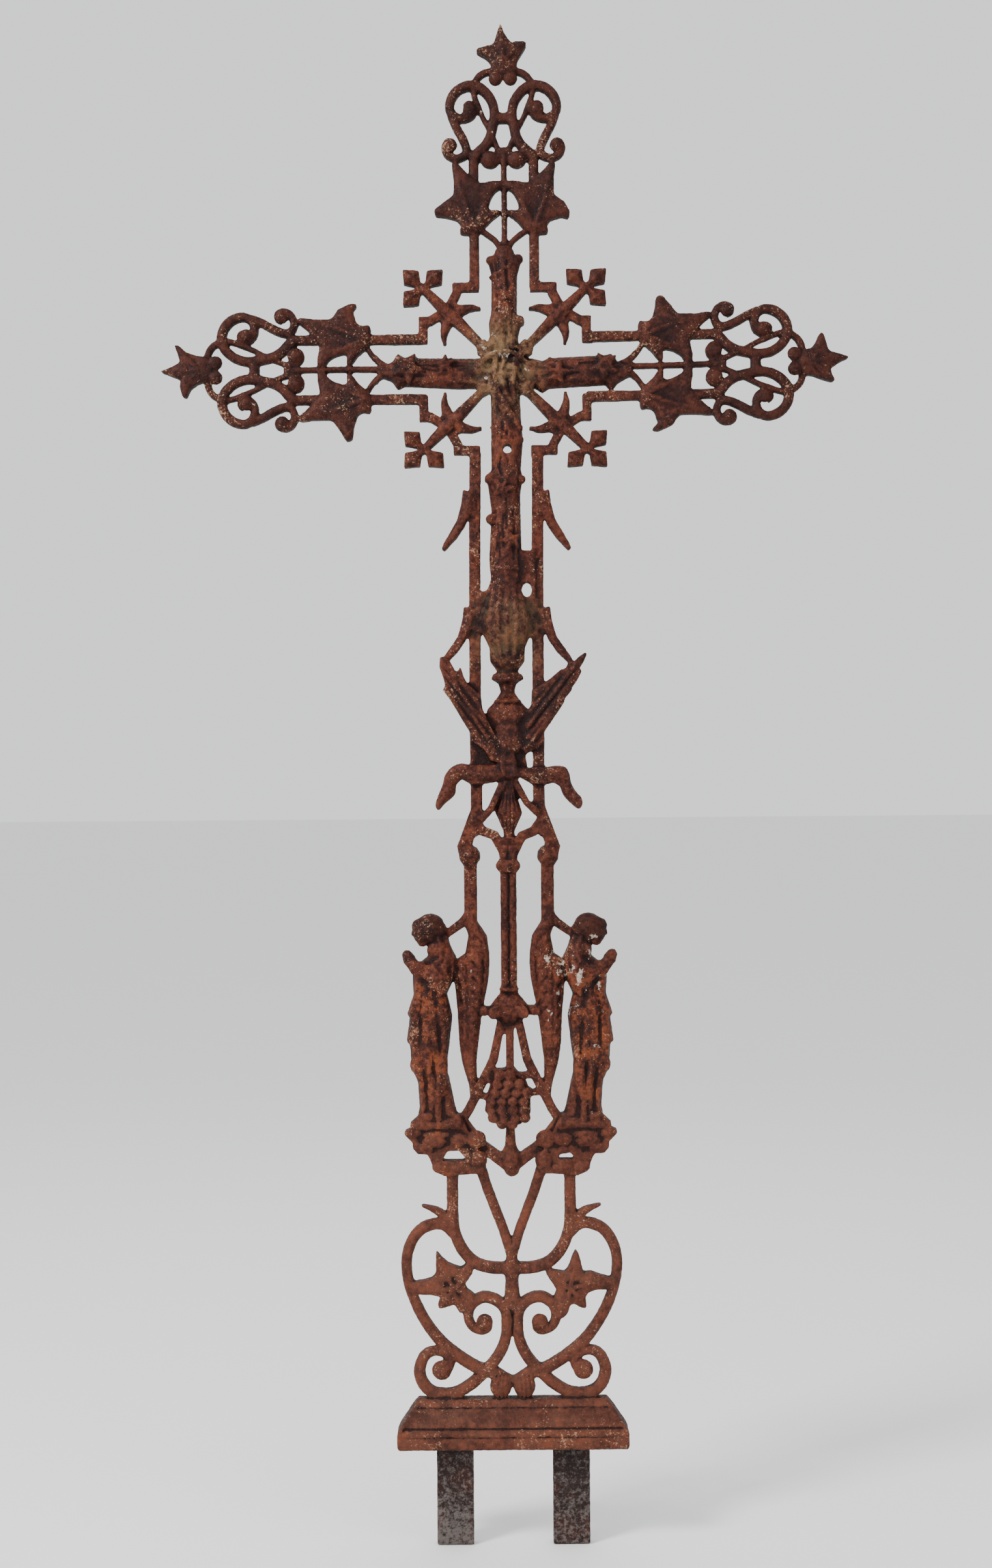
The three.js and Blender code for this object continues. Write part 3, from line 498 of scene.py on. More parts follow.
@dataclass(frozen=True)
class Trunk:
    """The lopped trunk and beam in the middle, with ivy and the cloth over the crossing.

    Attributes:
        crossing: Height of the crossing.
        half: Half the trunk's width.
        front: How far forward the bark stands.
        ivy: Heights where the ivy crosses the trunk, each with its rise.
        across: Places where the ivy crosses the beam, each with its run.
        leaves: Middles of the ivy leaves, each with its size and the way it points in degrees.
        knots: Middles of the lopped branches across and up, each with its radius.
        folds: The cloth's folds.
        grooves: Numbers of the bark's grooves on the trunk and on the beam.
        seed: Seed of the bark's grooves.
    """

    crossing: float = 922.5
    half: float = 11.4
    front: float = -10.6
    ivy: tuple[Point2, ...] = ((1000, 12), (872, -18))
    across: tuple[Point2, ...] = ((-62, 16), (54, -16), (78, 12))
    leaves: tuple[tuple[float, float, float, float], ...] = (
        (-82, 923, 16.5, 205), (84, 923.5, 15, -25), (46, 917, 12.5, 150), (-52, 925, 10, 20),
        (-3, 818, 12, 70), (4, 775, 11, 250), (1, 985, 10, 100), (-4, 958, 8.5, 230),
    )
    knots: tuple[Point3, ...] = (
        (12, 963, 5), (-12, 828, 5.5), (13, 827, 4), (-13, 793, 4.6), (12, 1016, 4.4), (-12, 1015, 3.8),
        (12, 861, 3.6),
    )
    folds: tuple[tuple[Point3, ...], ...] = (
        ((-7, -9, 936), (-10, -14, 918), (-7, -14.4, 900), (5, -12.6, 884), (14, -7, 868)),
        ((2, -9, 938), (-3, -15.4, 920), (-2, -15.6, 904), (6, -12.6, 890)),
        ((11, -8, 934), (8, -14.2, 918), (5, -14.6, 906), (9, -12, 892)),
        ((-14, -6, 926), (-13, -11.6, 910), (-10, -12.4, 896), (-1, -11.6, 882)),
        ((-24, -7, 926), (-14, -12.6, 932), (-2, -13.4, 936), (10, -12.6, 934), (22, -8, 924)),
    )
    grooves: tuple[int, int] = (30, 26)
    seed: int = 11

    @staticmethod
    def ivy_leaf(x: float, z: float, size: float, turn: float) -> tuple[tuple[Point2, ...], list[Ridge]]:
        """Returns the outline and the veins of an ivy leaf.

        Args:
            x: Its middle across.
            z: Its middle upwards.
            size: Length of its longest lobe.
            turn: The way it points in degrees.

        Returns:
            The outline and the veins.
        """
        lobes = ((0, 1.0), (28, 0.52), (62, 0.92), (98, 0.5), (140, 0.78), (180, 0.34),
                 (220, 0.78), (262, 0.5), (298, 0.92), (332, 0.52))

        def put(angle: float, reach: float) -> Point2:
            """Returns the point at an angle and a share of the leaf's size."""
            way = math.radians(turn + angle)
            return x + size * reach * math.cos(way), z + size * reach * math.sin(way)

        root = put(180, 0.3)
        veins = []
        for angle, reach in lobes:
            if reach > 0.7:
                veins.append(ridge([root, put(angle, reach * 0.9)], 1.5, 1.1, 0.3))
            if reach < 0.6:
                veins.append(ridge([put(angle, 0.2), put(angle, reach)], 2.0, -0.8))
        return tuple(put(angle, reach) for angle, reach in lobes), veins

    def bark(self) -> list[Ridge]:
        """Returns the long grooves of the bark.

        Returns:
            The ridges.
        """
        lines = []
        rng = np.random.default_rng(self.seed)
        upright, level = self.grooves
        for _ in range(upright):
            z = rng.uniform(752, 1005)
            x = rng.uniform(-9, 9)
            bend = rng.uniform(-2.5, 2.5)
            long = rng.uniform(12, 30)
            lines.append(ridge([(x, z), (x + bend, z + long / 2), (x + bend * 0.4, z + long)], 1.7, -1.2))
        for _ in range(level):
            x = rng.uniform(-96, 86)
            z = self.crossing + rng.uniform(-9, 8)
            bend = rng.uniform(-2, 2)
            long = rng.uniform(10, 24)
            lines.append(ridge([(x, z), (x + long / 2, z + bend), (x + long, z + bend * 0.3)], 1.6, -1.1))
        return lines

    def stems(self) -> list[Cord]:
        """Returns the ivy's stems round the trunk and the beam.

        Returns:
            The cords.
        """
        y = self.front
        mid = self.crossing
        cords = []
        for z, rise in self.ivy:
            path = ((-12, -2, z), (-8, y + 1, z + rise * 0.15), (3, y - 1, z + rise * 0.7),
                    (12, -3, z + rise))
            cords.append(Cord(path, 2.0, 0.8))
        for x, run in self.across:
            path = ((x, -2, mid - 12), (x + run * 0.3, -9.4, mid - 6), (x + run * 0.8, -9.4, mid + 4),
                    (x + run, -2, mid + 9))
            cords.append(Cord(path, 1.8, 0.8))
        return cords

    def relief(self) -> Relief:
        """Returns the bark, ivy, knots and cloth.

        Returns:
            The relief.
        """
        lines = self.bark()
        plates = []
        for leaf in self.leaves:
            outline, veins = self.ivy_leaf(*leaf)
            plates.append(Plate(outline, self.front - 0.6, 1.6, 4.0, 0.4))
            lines += veins
        cords = self.stems() + [Cord(path, 2.9, 0.5) for path in self.folds]
        lumps = [Lump((x, -3.4, z), (size, 6, size)) for x, z, size in self.knots]
        lumps += [Lump((0, -3.6, 1021), (8.4, 6, 7)), Lump((3, -7.4, 916), (12, 6.4, 16)),
                  Lump((-22, -5, 922), (11, 5.8, 9)), Lump((22, -5, 920), (9, 5.6, 8)),
                  Lump((-6, -6, 946), (8, 5.6, 8))]
        return Relief(tuple(lumps), tuple(cords), tuple(lines), (), tuple(plates))


@dataclass(frozen=True)
class Vessel:
    """The vase, the neck, the winged urn, the ribbon and the calyx on the middle line.

    Attributes:
        flutes: Number of flutes on the calyx.
        ribbon: Outline of the ribbon and its two hanging heads.
        root: Outline of the web between the urn's foot and the ribbon.
        quills: Where each quill of a wing begins and ends.
        band: The line along one end of the ribbon.
        thorns: Heights where the thorns beside the trunk begin and end.
        rings: The rings round the neck, the urn and the vase: place, half width and thickness.
        knot: The points of the ribbon's knot.
    """

    flutes: int = 5
    ribbon: tuple[Point2, ...] = (
        (0, 583), (-32, 582.6), (-40, 584), (-48, 581), (-54, 574), (-56.4, 565), (-60.4, 555.6),
        (-62.6, 548), (-60, 543.6), (-55, 549), (-46, 557), (-44.6, 565.6), (-40, 570.4), (-32, 566),
        (-25, 565.6), (-13, 567.4), (10, 571.6), (20, 566), (33, 565.4), (39, 567), (44.4, 563.6),
        (47, 556.6), (52, 550.6), (60, 544), (63.4, 548), (62.6, 554), (57.4, 559.6), (54, 566),
        (52.4, 574.6), (49, 580), (42, 581.4), (31, 580), (15, 579.6),
    )
    root: tuple[Point2, ...] = (
        (-14, 614), (-24, 600), (-24, 578), (14.6, 578), (15, 590), (18, 596), (24, 600), (14, 614),
    )
    quills: tuple[tuple[Point2, Point2], ...] = (
        ((16, 596), (55, 646)), ((17, 606), (60, 660)), ((18, 616), (64, 672)), ((20, 628), (52, 668)),
        ((22, 640), (42, 658)),
    )
    band: tuple[Point2, ...] = (
        (8, 574), (20, 573), (30, 574), (39, 575.6), (47, 572), (51.4, 562), (58, 550),
    )
    thorns: tuple[Point2, ...] = ((818, 766), (718, 668))
    rings: tuple[tuple[float, float, float, float], ...] = (
        (0, 626, 17, 3), (0, 656, 14, 2.6), (0, 637, 12, 2.2), (0, 750, 12, 3),
    )
    knot: tuple[Point3, ...] = (
        (-3, -9, 593), (-6.4, -10.6, 582), (-3, -10.4, 572.5), (3, -10.4, 571.6), (7, -10.4, 578),
        (4, -9, 591),
    )

    def lines(self) -> list[Ridge]:
        """Returns the vase's leaves, the quills, the thorns' backs, the ribbon's edges and the flutes.

        Returns:
            The ridges.
        """
        lines = []
        for x in (-16, -8, 0, 8, 16):
            lines.append(ridge([(x * 0.6, 668), (x * 0.9, 684), (x, 706), (x * 0.7, 734)], 2.4, 1.6, 0.6))
        for side in (1, -1):
            for (low_x, low_z), (tip_x, tip_z) in self.quills:
                lines.append(ridge([(side * low_x, low_z), (side * tip_x * 0.97, tip_z)], 2.4, 1.6, 0.5))
            lines.append(ridge([(side * 24, 750), (side * 40, 786)], 2, -0.8))
            lines.append(ridge([(side * x, z) for x, z in self.band], 3.4, 1.3, 0.6))
            lines.append(ridge([(side * (x - 1), z - 5.4) for x, z in self.band], 1.2, -0.9))
            for top, tip in self.thorns:
                thorn = [(31, top - 6), (35, top - 22), (42, top - 36), (53, tip + 4)]
                lines.append(ridge([(side * x, z) for x, z in thorn], 3.6, 1.7, 0.6))
        for i in range(self.flutes):
            x = (i - (self.flutes - 1) / 2) * 4.2
            lines.append(ridge([(x * 0.4, 520), (x, 540), (x * 0.3, 568)], 1.5, 1.3))
        return lines

    def relief(self) -> Relief:
        """Returns the lines, rings, bowls, knot and beads.

        Returns:
            The relief.
        """
        lumps = [Lump((x, -4.4, z), (half, 8, thick)) for x, z, half, thick in self.rings]
        lumps += [Lump((0, -5.6, 584), (8.4, 6, 9)), Lump((0, -6, 614), (11, 6.4, 9)),
                  Lump((0, -7, 700), (19, 9, 20))]
        for side in (1, -1):
            lumps.append(Lump((side * 33.6, -5.4, 504.2), (8.6, 3.6, 8.6)))
            lumps.append(Lump((side * 33.6, -8, 504.2), (4.2, 2.4, 4.2)))
        lumps.append(Lump((1, -3.6, 604), (13, 8.6, 16)))
        plates = (Plate(self.ribbon, -6.4, 3.2, 6.0, 0.9), Plate(self.root, -4.4, 0.6))
        return Relief(tuple(lumps), (Cord(self.knot, 1.7),), tuple(self.lines()), (), plates)


@dataclass(frozen=True)
class Grapes:
    """The bunch of grapes in the rhomb, in millimetres.

    Attributes:
        radius: Radius of a berry.
        pitch: Distance between two berries of a row.
        rows: Each row's number of berries, middle and height.
        unevenness: How much the largest berry is over the radius.
        seed: Seed of the berries' sizes.
    """

    radius: float = 4.6
    pitch: float = 9.0
    rows: tuple[tuple[int, float, float], ...] = (
        (2, -5, 317), (3, -2, 309.6), (4, 0, 302), (4, -3, 294.6), (4, -3, 287.4), (4, -1.6, 281),
        (2, -3, 276),
    )
    unevenness: float = 0.14
    seed: int = 5

    def places(self) -> list[Point3]:
        """Returns the middles of the berries.

        Returns:
            The points in millimetres.
        """
        spots = []
        for count, middle, z in self.rows:
            for i in range(count):
                x = middle + (i - (count - 1) / 2) * self.pitch
                arch = 1 - ((x + 2.5) / 30) ** 2
                spots.append((x, -6.6 - 5.6 * arch, z))
        return spots


@dataclass(frozen=True)
class Angel:
    """The praying angel on the left, in millimetres. It faces outwards.

    Attributes:
        head: Middle of the head.
        hands: Middle of the folded hands.
        elbow: Where the sleeve hangs.
        strands: Number of strands of the hair.
        feathers: Number of feathers in each row of the wing.
    """

    head: Point3 = (-69.4, -4.6, 442.0)
    hands: Point3 = (-85.8, -6.4, 416.4)
    elbow: Point3 = (-61.6, -11.0, 399.0)
    strands: int = 7
    feathers: int = 9

    def hair(self) -> list[Ridge]:
        """Returns the combed hair.

        Returns:
            The ridges.
        """
        x, _, z = self.head
        lines = []
        for i in range(self.strands):
            angle = math.radians(200 - 24 * i)
            outer = (x + 12 * math.cos(angle), z + 2 + 11 * math.sin(angle))
            inner = (x - 3 + 4 * math.cos(angle), z - 1 + 5 * math.sin(angle))
            lines.append(ridge([inner, outer], 1.5, -0.6))
        return lines

    def folds(self) -> list[Ridge]:
        """Returns the robe's folds.

        Returns:
            The ridges.
        """
        tall = [
            [(-80, 366), (-81, 340), (-76, 310), (-75, 288)],
            [(-74, 392), (-72, 350), (-68, 316), (-69, 286)],
            [(-67, 380), (-64, 344), (-61, 312), (-62, 284)],
            [(-58, 386), (-57, 352), (-56, 318), (-53, 284)],
            [(-54, 372), (-53.6, 346), (-55, 326), (-58, 302)],
            [(-77, 396), (-78, 380), (-83, 366)],
            [(-82, 344), (-80, 328), (-82, 322)],
        ]
        lines = [ridge(line, 3.4, 1.05) for line in tall]
        lines += [ridge([(x + 3.6, z - 2) for x, z in line], 2.4, -0.4) for line in tall[::2]]
        for sleeve in ([(-60, 414), (-52, 404), (-54, 392)], [(-66, 412), (-58, 400), (-60, 388)]):
            lines.append(ridge(sleeve, 2, 1.2))
        return lines

    def plume(self) -> list[Ridge]:
        """Returns the wing's feathers.

        Returns:
            The ridges.
        """
        lines = []
        for i in range(self.feathers):
            z = 440 - 13 * i
            lines.append(ridge([(-33 + i * 0.4, z), (-24, z - 9), (-22, z - 22)], 1.8, -0.9))
            lines.append(ridge([(-44 + i * 0.3, z - 6), (-38, z - 14), (-36, z - 28)], 1.7, -0.8))
        lines.append(ridge([(-40, 446), (-47, 410), (-44.4, 372), (-41, 330), (-34, 300)], 2.4, 1.4, 0.6))
        lines.append(ridge([(-22, 440), (-19.4, 410), (-25, 366), (-30, 316)], 2.2, 1.3, 0.5))
        return lines

    def relief(self) -> Relief:
        """Returns the angel.

        Returns:
            The relief.
        """
        x, y, z = self.head
        hx, hy, hz = self.hands
        ex, ey, ez = self.elbow
        lumps = [
            Lump((x + 1.6, y, z + 2), (12.4, 10.6, 11.4), -12),
            Lump((x - 5, y - 0.6, z - 3), (7.6, 8.4, 9.4), 20),
            Lump((x - 9.6, y, z - 1.2), (3.4, 5, 5.6), 10),
            Lump((x - 5, y, z - 10.4), (4.6, 6, 4.6)),
            Lump((x + 10.6, y + 0.4, z - 1), (4.6, 7.4, 6.6), 20),
            Lump((x - 12.8, y, z - 3.6), (1.9, 2.6, 2.6)),
            Lump((-62.4, -4.4, 424), (8.4, 8, 9)),
            Lump((hx, hy, hz), (4.6, 5.6, 8.6), -24),
            Lump((hx + 3.4, hy - 2.4, hz - 4.6), (4.4, 5.4, 7), -30),
            Lump((ex, ey, ez), (10.4, 6.6, 13), -14),
            Lump((-70, -9.4, 405), (8, 6, 8), 24),
            Lump((-76.6, -9, 409), (5.6, 5.6, 6.4), 30),
            Lump((-64, -6, 372), (12.5, 8.6, 22)),
            Lump((-70, -6, 338), (13, 8.4, 26)),
            Lump((-60, -6.4, 318), (6.4, 8, 30), 2),
            Lump((-82, -4.4, 352), (5, 6, 9)),
            Lump((-82, -4.4, 326), (4, 5.4, 7)),
            Lump((-72, -6.4, 282), (7.4, 7, 4.6)),
        ]
        cords = (
            Cord(((-60, -6, 384), (-66, -13.4, 381), (-74, -13.4, 382), (-81, -6, 384)), 1.4),
            Cord(((-54, -5, 427), (-54.6, -10.6, 412), (-60, -13.6, 398), (-70, -13.4, 400), (-81, -9, 411)),
                 4.4, 0.7),
            Cord(((-58, -12, 394), (-62, -13.4, 386), (-60, -11, 378)), 3.4, 0.5),
        )
        return Relief(tuple(lumps), cords, tuple(self.hair() + self.folds() + self.plume()))


@dataclass(frozen=True)
class Rock:
    """The rocky console under the left angel, in millimetres.

    Attributes:
        stones: Each stone's place and half sizes across and up.
    """

    stones: tuple[tuple[float, float, float, float], ...] = (
        (-72, 276, 12, 5), (-52, 277, 12, 5.4), (-82, 268, 7, 3.6), (-64, 266, 14, 4.4), (-44, 262, 10, 6),
        (-74, 255, 9, 5), (-30, 262, 9, 8), (-28, 244, 7, 8), (-60, 238, 8, 5), (-44, 237, 10, 4.4),
    )

    def relief(self) -> Relief:
        """Returns the stones."""
        return Relief(tuple(Lump((x, -6.4, z), (wide, 5.4, tall)) for x, z, wide, tall in self.stones))


@dataclass(frozen=True)
class LowWork:
    """The scrolls and ivy leaves between the foot and the consoles, in millimetres.

    Attributes:
        eyes: The left half's scroll eyes, each with its radius.
        left_leaf: Outline of the left ivy leaf.
        right_leaf: Outline of the right ivy leaf.
    """

    eyes: tuple[tuple[float, float, float], ...] = ((-23.6, 105.0, 7.2), (-60.6, 64.0, 8.6))
    left_leaf: tuple[Point2, ...] = (
        (-64.9, 164.8), (-60, 160), (-54, 155), (-44, 151.4), (-37.6, 155), (-33.4, 148), (-36.4, 143),
        (-40, 137.4), (-38.6, 133), (-32, 127), (-38, 116), (-44.4, 112.6), (-49.4, 119.6), (-53.4, 118.6),
        (-62, 116.6), (-63.6, 120), (-61.6, 126.4), (-68, 128), (-76.6, 128.6), (-86, 130), (-86, 138.6),
        (-75.4, 140.6), (-69, 142.4), (-65.2, 147),
    )
    right_leaf: tuple[Point2, ...] = (
        (54.7, 165.3), (57.3, 162), (59.3, 155.3), (61.3, 146.7), (68, 147), (76, 144), (86, 141), (86, 132),
        (76.7, 132), (70.7, 131.3), (64.7, 128.7), (63, 124.7), (63.7, 116.7), (58.7, 116.7), (53.3, 119.6),
        (50, 118.7), (48, 112.7), (44.7, 108.7), (39, 107.3), (36, 123.3), (38, 131.3), (36, 135.3),
        (32, 141.3), (29.3, 146), (33.3, 149), (44.7, 147), (48.7, 151.3), (52, 160.7),
    )

    def bars(self) -> list[Bar]:
        """Returns the left half's bars.

        Returns:
            The bars.
        """
        tables = [
            ([(-50.4, 240), (-50.4, 218), (-50.4, 196), (-48.6, 181), (-42, 166), (-31, 155), (-16, 150.6),
              (1, 150.6)], [10, 10, 10, 10.4, 11], -6.2),
            ([(-28, 242), (-20, 217.6), (-13, 199), (-6.6, 182), (0.6, 158)], [9.4, 8.8, 8.6, 8.8], -6),
            ([(-50, 180), (-57, 187), (-66, 188.6), (-77.6, 184), (-86, 173.4), (-90, 160), (-89.8, 146),
              (-85.8, 129), (-78.4, 112), (-69, 97), (-57.6, 84), (-44, 73.4), (-30, 65), (-14, 59.6)],
             [9, 9.8, 9.4, 9.2, 9.2, 9.4, 10.2, 10.4, 10], -6.2),
            ([(-52, 191), (-62, 198.6), (-69, 202), (-77, 204.6)], [9.6, 6.8, 1.6], -5.4),
            ([(-19.6, 103), (-20.4, 98.6), (-26.4, 96.6), (-34.6, 101), (-37.8, 110), (-34.6, 119.4),
              (-25, 125.4), (-14, 123), (-6.4, 115), (-4.8, 104), (-5.6, 91), (-9.6, 79.6), (-16, 70),
              (-26, 59.4), (-36, 50.6), (-48, 43.8), (-60, 42.4), (-71, 45.6), (-78, 54), (-79.6, 65),
              (-75, 75.6), (-66.6, 79.6), (-57.4, 76.6), (-52.4, 69), (-55, 62.6)],
             [5, 7.6, 9, 9.8, 9.8, 9.4, 9.4, 9.6, 9.8, 10, 10, 10.2, 10.2, 10.4, 9, 7, 5], -6.4),
            ([(-22, 66), (-8, 57), (2, 52)], [9, 9, 8], -5.6),
            ([(-1, 140), (-1, 128), (-1, 118)], [9, 11, 14], -5.8),
            ([(-0.4, 170), (-0.6, 156), (-1, 146), (-1, 136)], [6, 9, 11, 8.4], -7),
        ]
        return [Bar(tuple(line), tuple(widths), front) for line, widths, front in tables]

    @staticmethod
    def veins(outline: Sequence[Point2], root: Point2, tips: Sequence[int]) -> list[Ridge]:
        """Returns a leaf's veins and the hollows between them.

        Args:
            outline: The leaf's outline.
            root: Where the veins meet.
            tips: Which of the outline's points are the lobes' tips.

        Returns:
            The ridges.
        """
        start = np.array(root)
        ends = [np.array(outline[i]) for i in tips]
        lines = [ridge([start, start + (end - start) * 0.9], 2.3, 1.0, 0.4) for end in ends]
        for a, b in zip(ends, ends[1:] + ends[:1]):
            middle = start * 0.5 + (a + b) * 0.25
            lines.append(ridge([start + (middle - start) * 0.6, middle], 3.4, -0.35))
        return lines

    def relief(self) -> Relief:
        """Returns both halves.

        Returns:
            The relief.
        """
        lumps = [Lump((x, -4.8, z), (size, 5, size)) for x, z, size in self.eyes]
        lumps.append(Lump((-1, -0.6, 119), (5, 5.2, 9)))
        lumps.append(Lump((-10.2, -2.4, 49.6), (9.4, 8.4, 11)))
        lines = [ridge([(-98, 13), (0, 13)], 2.2, 1.1), ridge([(-94, 17.6), (0, 17.6)], 1.8, -1.1),
                 ridge([(-84, 33), (0, 33)], 1.8, -0.8), ridge([(-80, 38), (-97, 14)], 1.6, 0.8)]
        for i in range(3):
            lines.append(ridge([(-15 + i * 3.6, 40), (-16.4 + i * 4, 50), (-14 + i * 3.4, 59)], 1.2, -1.0))
        left = Relief(tuple(lumps), (), tuple(lines), tuple(self.bars()))
        right = left.mirrored()
        veins = self.veins(self.left_leaf, (-50, 134), (0, 5, 9, 11, 14, 19))
        veins += self.veins(self.right_leaf, (50, 134), (0, 6, 12, 17, 23))
        plates = (Plate(self.left_leaf), Plate(self.right_leaf))
        return Relief(left.lumps + right.lumps, (), left.ridges + right.ridges + tuple(veins),
                      left.bars + right.bars, plates)


@dataclass(frozen=True)
class Column:
    """The twin column, its capital with two snail-shaped beads, and the knob under the rhomb.

    Attributes:
        middle: Where the middle of the two shafts is across.
        shaft: Heights of the shafts' ends.
        spread: Distance of a shaft's middle from the column's.
        grooved: Heights between which the groove between the shafts is chased.
        beads: Middles of the beads across and up.
        swirl: The line of a snail on the right, from the column's middle.
    """

    middle: float = -0.5
    shaft: Point2 = (388, 512)
    spread: float = 3.45
    grooved: Point2 = (393, 489)
    beads: tuple[Point2, ...] = ((-13.6, 370.2), (10.6, 370.6))
    swirl: tuple[Point3, ...] = (
        (6, -12.6, 376), (15, -12.8, 375), (17, -13, 368), (12, -13.2, 366), (10, -13, 370),
    )

    def relief(self) -> Relief:
        """Returns the column.

        Returns:
            The relief.
        """
        lumps = [Lump((x, -9.4, z), (5.6, 4.2, 5.6)) for x, z in self.beads]
        lumps += [Lump((-0.6, -4, 390), (8.6, 7, 2.4)), Lump((-0.6, -4, 377), (15, 7, 3.6)),
                  Lump((0.4, -4.6, 243), (7.6, 6.6, 10)), Lump((-0.6, -4, 495.6), (10, 7, 4)),
                  Lump((-22, -2.6, 371.6), (4, 5.4, 4.6)), Lump((21, -2.6, 371.8), (4, 5.4, 4.6))]
        foot, head = self.shaft
        low, high = self.grooved
        lines = [ridge([(self.middle, low), (self.middle, high)], 1.5, -1.6)]
        cords = []
        for side in (1, -1):
            x = self.middle + side * self.spread
            cords.append(Cord(((x, -3.4, foot), (x, -3.4, (foot + head) / 2), (x, -3.4, head)), 3.6))
            cords.append(Cord(tuple((side * a - 1.2, b, c) for a, b, c in self.swirl), 1.2))
            edge = self.middle + side * 6.2
            lines.append(ridge([(edge, low), (edge, high)], 1.0, 0.7))
        return Relief(tuple(lumps), tuple(cords), tuple(lines))


class Socket:
    """A value that a node tree computes, with Python's arithmetic."""

    def __init__(self, graph: "Graph", socket: bpy.types.NodeSocket) -> None:
        """Wraps an output socket of a tree."""
        self.graph = graph
        self.socket = socket

    def __add__(self, other: "Socket | float") -> "Socket":
        """Adds a value."""
        return self.graph.math("ADD", self, other)

    def __sub__(self, other: "Socket | float") -> "Socket":
        """Takes a value away."""
        return self.graph.math("SUBTRACT", self, other)

    def __mul__(self, other: "Socket | float") -> "Socket":
        """Multiplies by a value."""
        return self.graph.math("MULTIPLY", self, other)

    def __truediv__(self, other: "Socket | float") -> "Socket":
        """Divides by a value."""
        return self.graph.math("DIVIDE", self, other)

    def __rsub__(self, other: float) -> "Socket":
        """Takes this value from a number."""
        return self.graph.math("SUBTRACT", other, self)

    __radd__ = __add__
    __rmul__ = __mul__

    def step(self, low: float, high: float) -> "Socket":
        """Returns 0 below low, 1 above high and a smooth rise between.

        Args:
            low: Where the rise begins. It may be above high, and then the rise is a fall.
            high: Where it ends.

        Returns:
            The value.
        """
        if low > high:
            return 1 - self.step(high, low)
        inputs = {"Value": self, "From Min": low, "From Max": high}
        return self.graph.value("ShaderNodeMapRange", "Result", inputs, interpolation_type="SMOOTHSTEP")


class Graph:
    """Makes and links the nodes of one tree."""

    def __init__(self, tree: bpy.types.NodeTree) -> None:
        """Takes the tree that the nodes go into."""
        self.tree = tree

    def node(self, kind: str, inputs: dict | None = None, **settings: object) -> bpy.types.Node:
        """Makes a node, and links or sets its inputs.

        Args:
            kind: The node's type.
            inputs: Values or sockets by input name or number.
            **settings: The node's own properties.

        Returns:
            The node.
        """
        made = self.tree.nodes.new(kind)
        for name, value in settings.items():
            setattr(made, name, value)
        for key, value in (inputs or {}).items():
            if isinstance(value, Socket):
                self.tree.links.new(value.socket, made.inputs[key])
            else:
                made.inputs[key].default_value = value
        return made

    def value(
        self, kind: str, output: int | str, inputs: dict | None = None, **settings: object
    ) -> Socket:
        """Makes a node and returns one of its outputs.

        Args:
            kind: The node's type.
            output: The output's name or number.
            inputs: Values or sockets by input name or number.
            **settings: The node's own properties.

        Returns:
            The output.
        """
        return Socket(self, self.node(kind, inputs, **settings).outputs[output])

    def math(self, operation: str, *values: "Socket | float") -> Socket:
        """Returns a number that a Math node computes from others."""
        return self.value("ShaderNodeMath", 0, dict(enumerate(values)), operation=operation)

    def axes(self, place: Socket) -> tuple[Socket, Socket, Socket]:
        """Returns the three numbers of a vector."""
        split = self.node("ShaderNodeSeparateXYZ", {0: place})
        return tuple(Socket(self, output) for output in split.outputs)


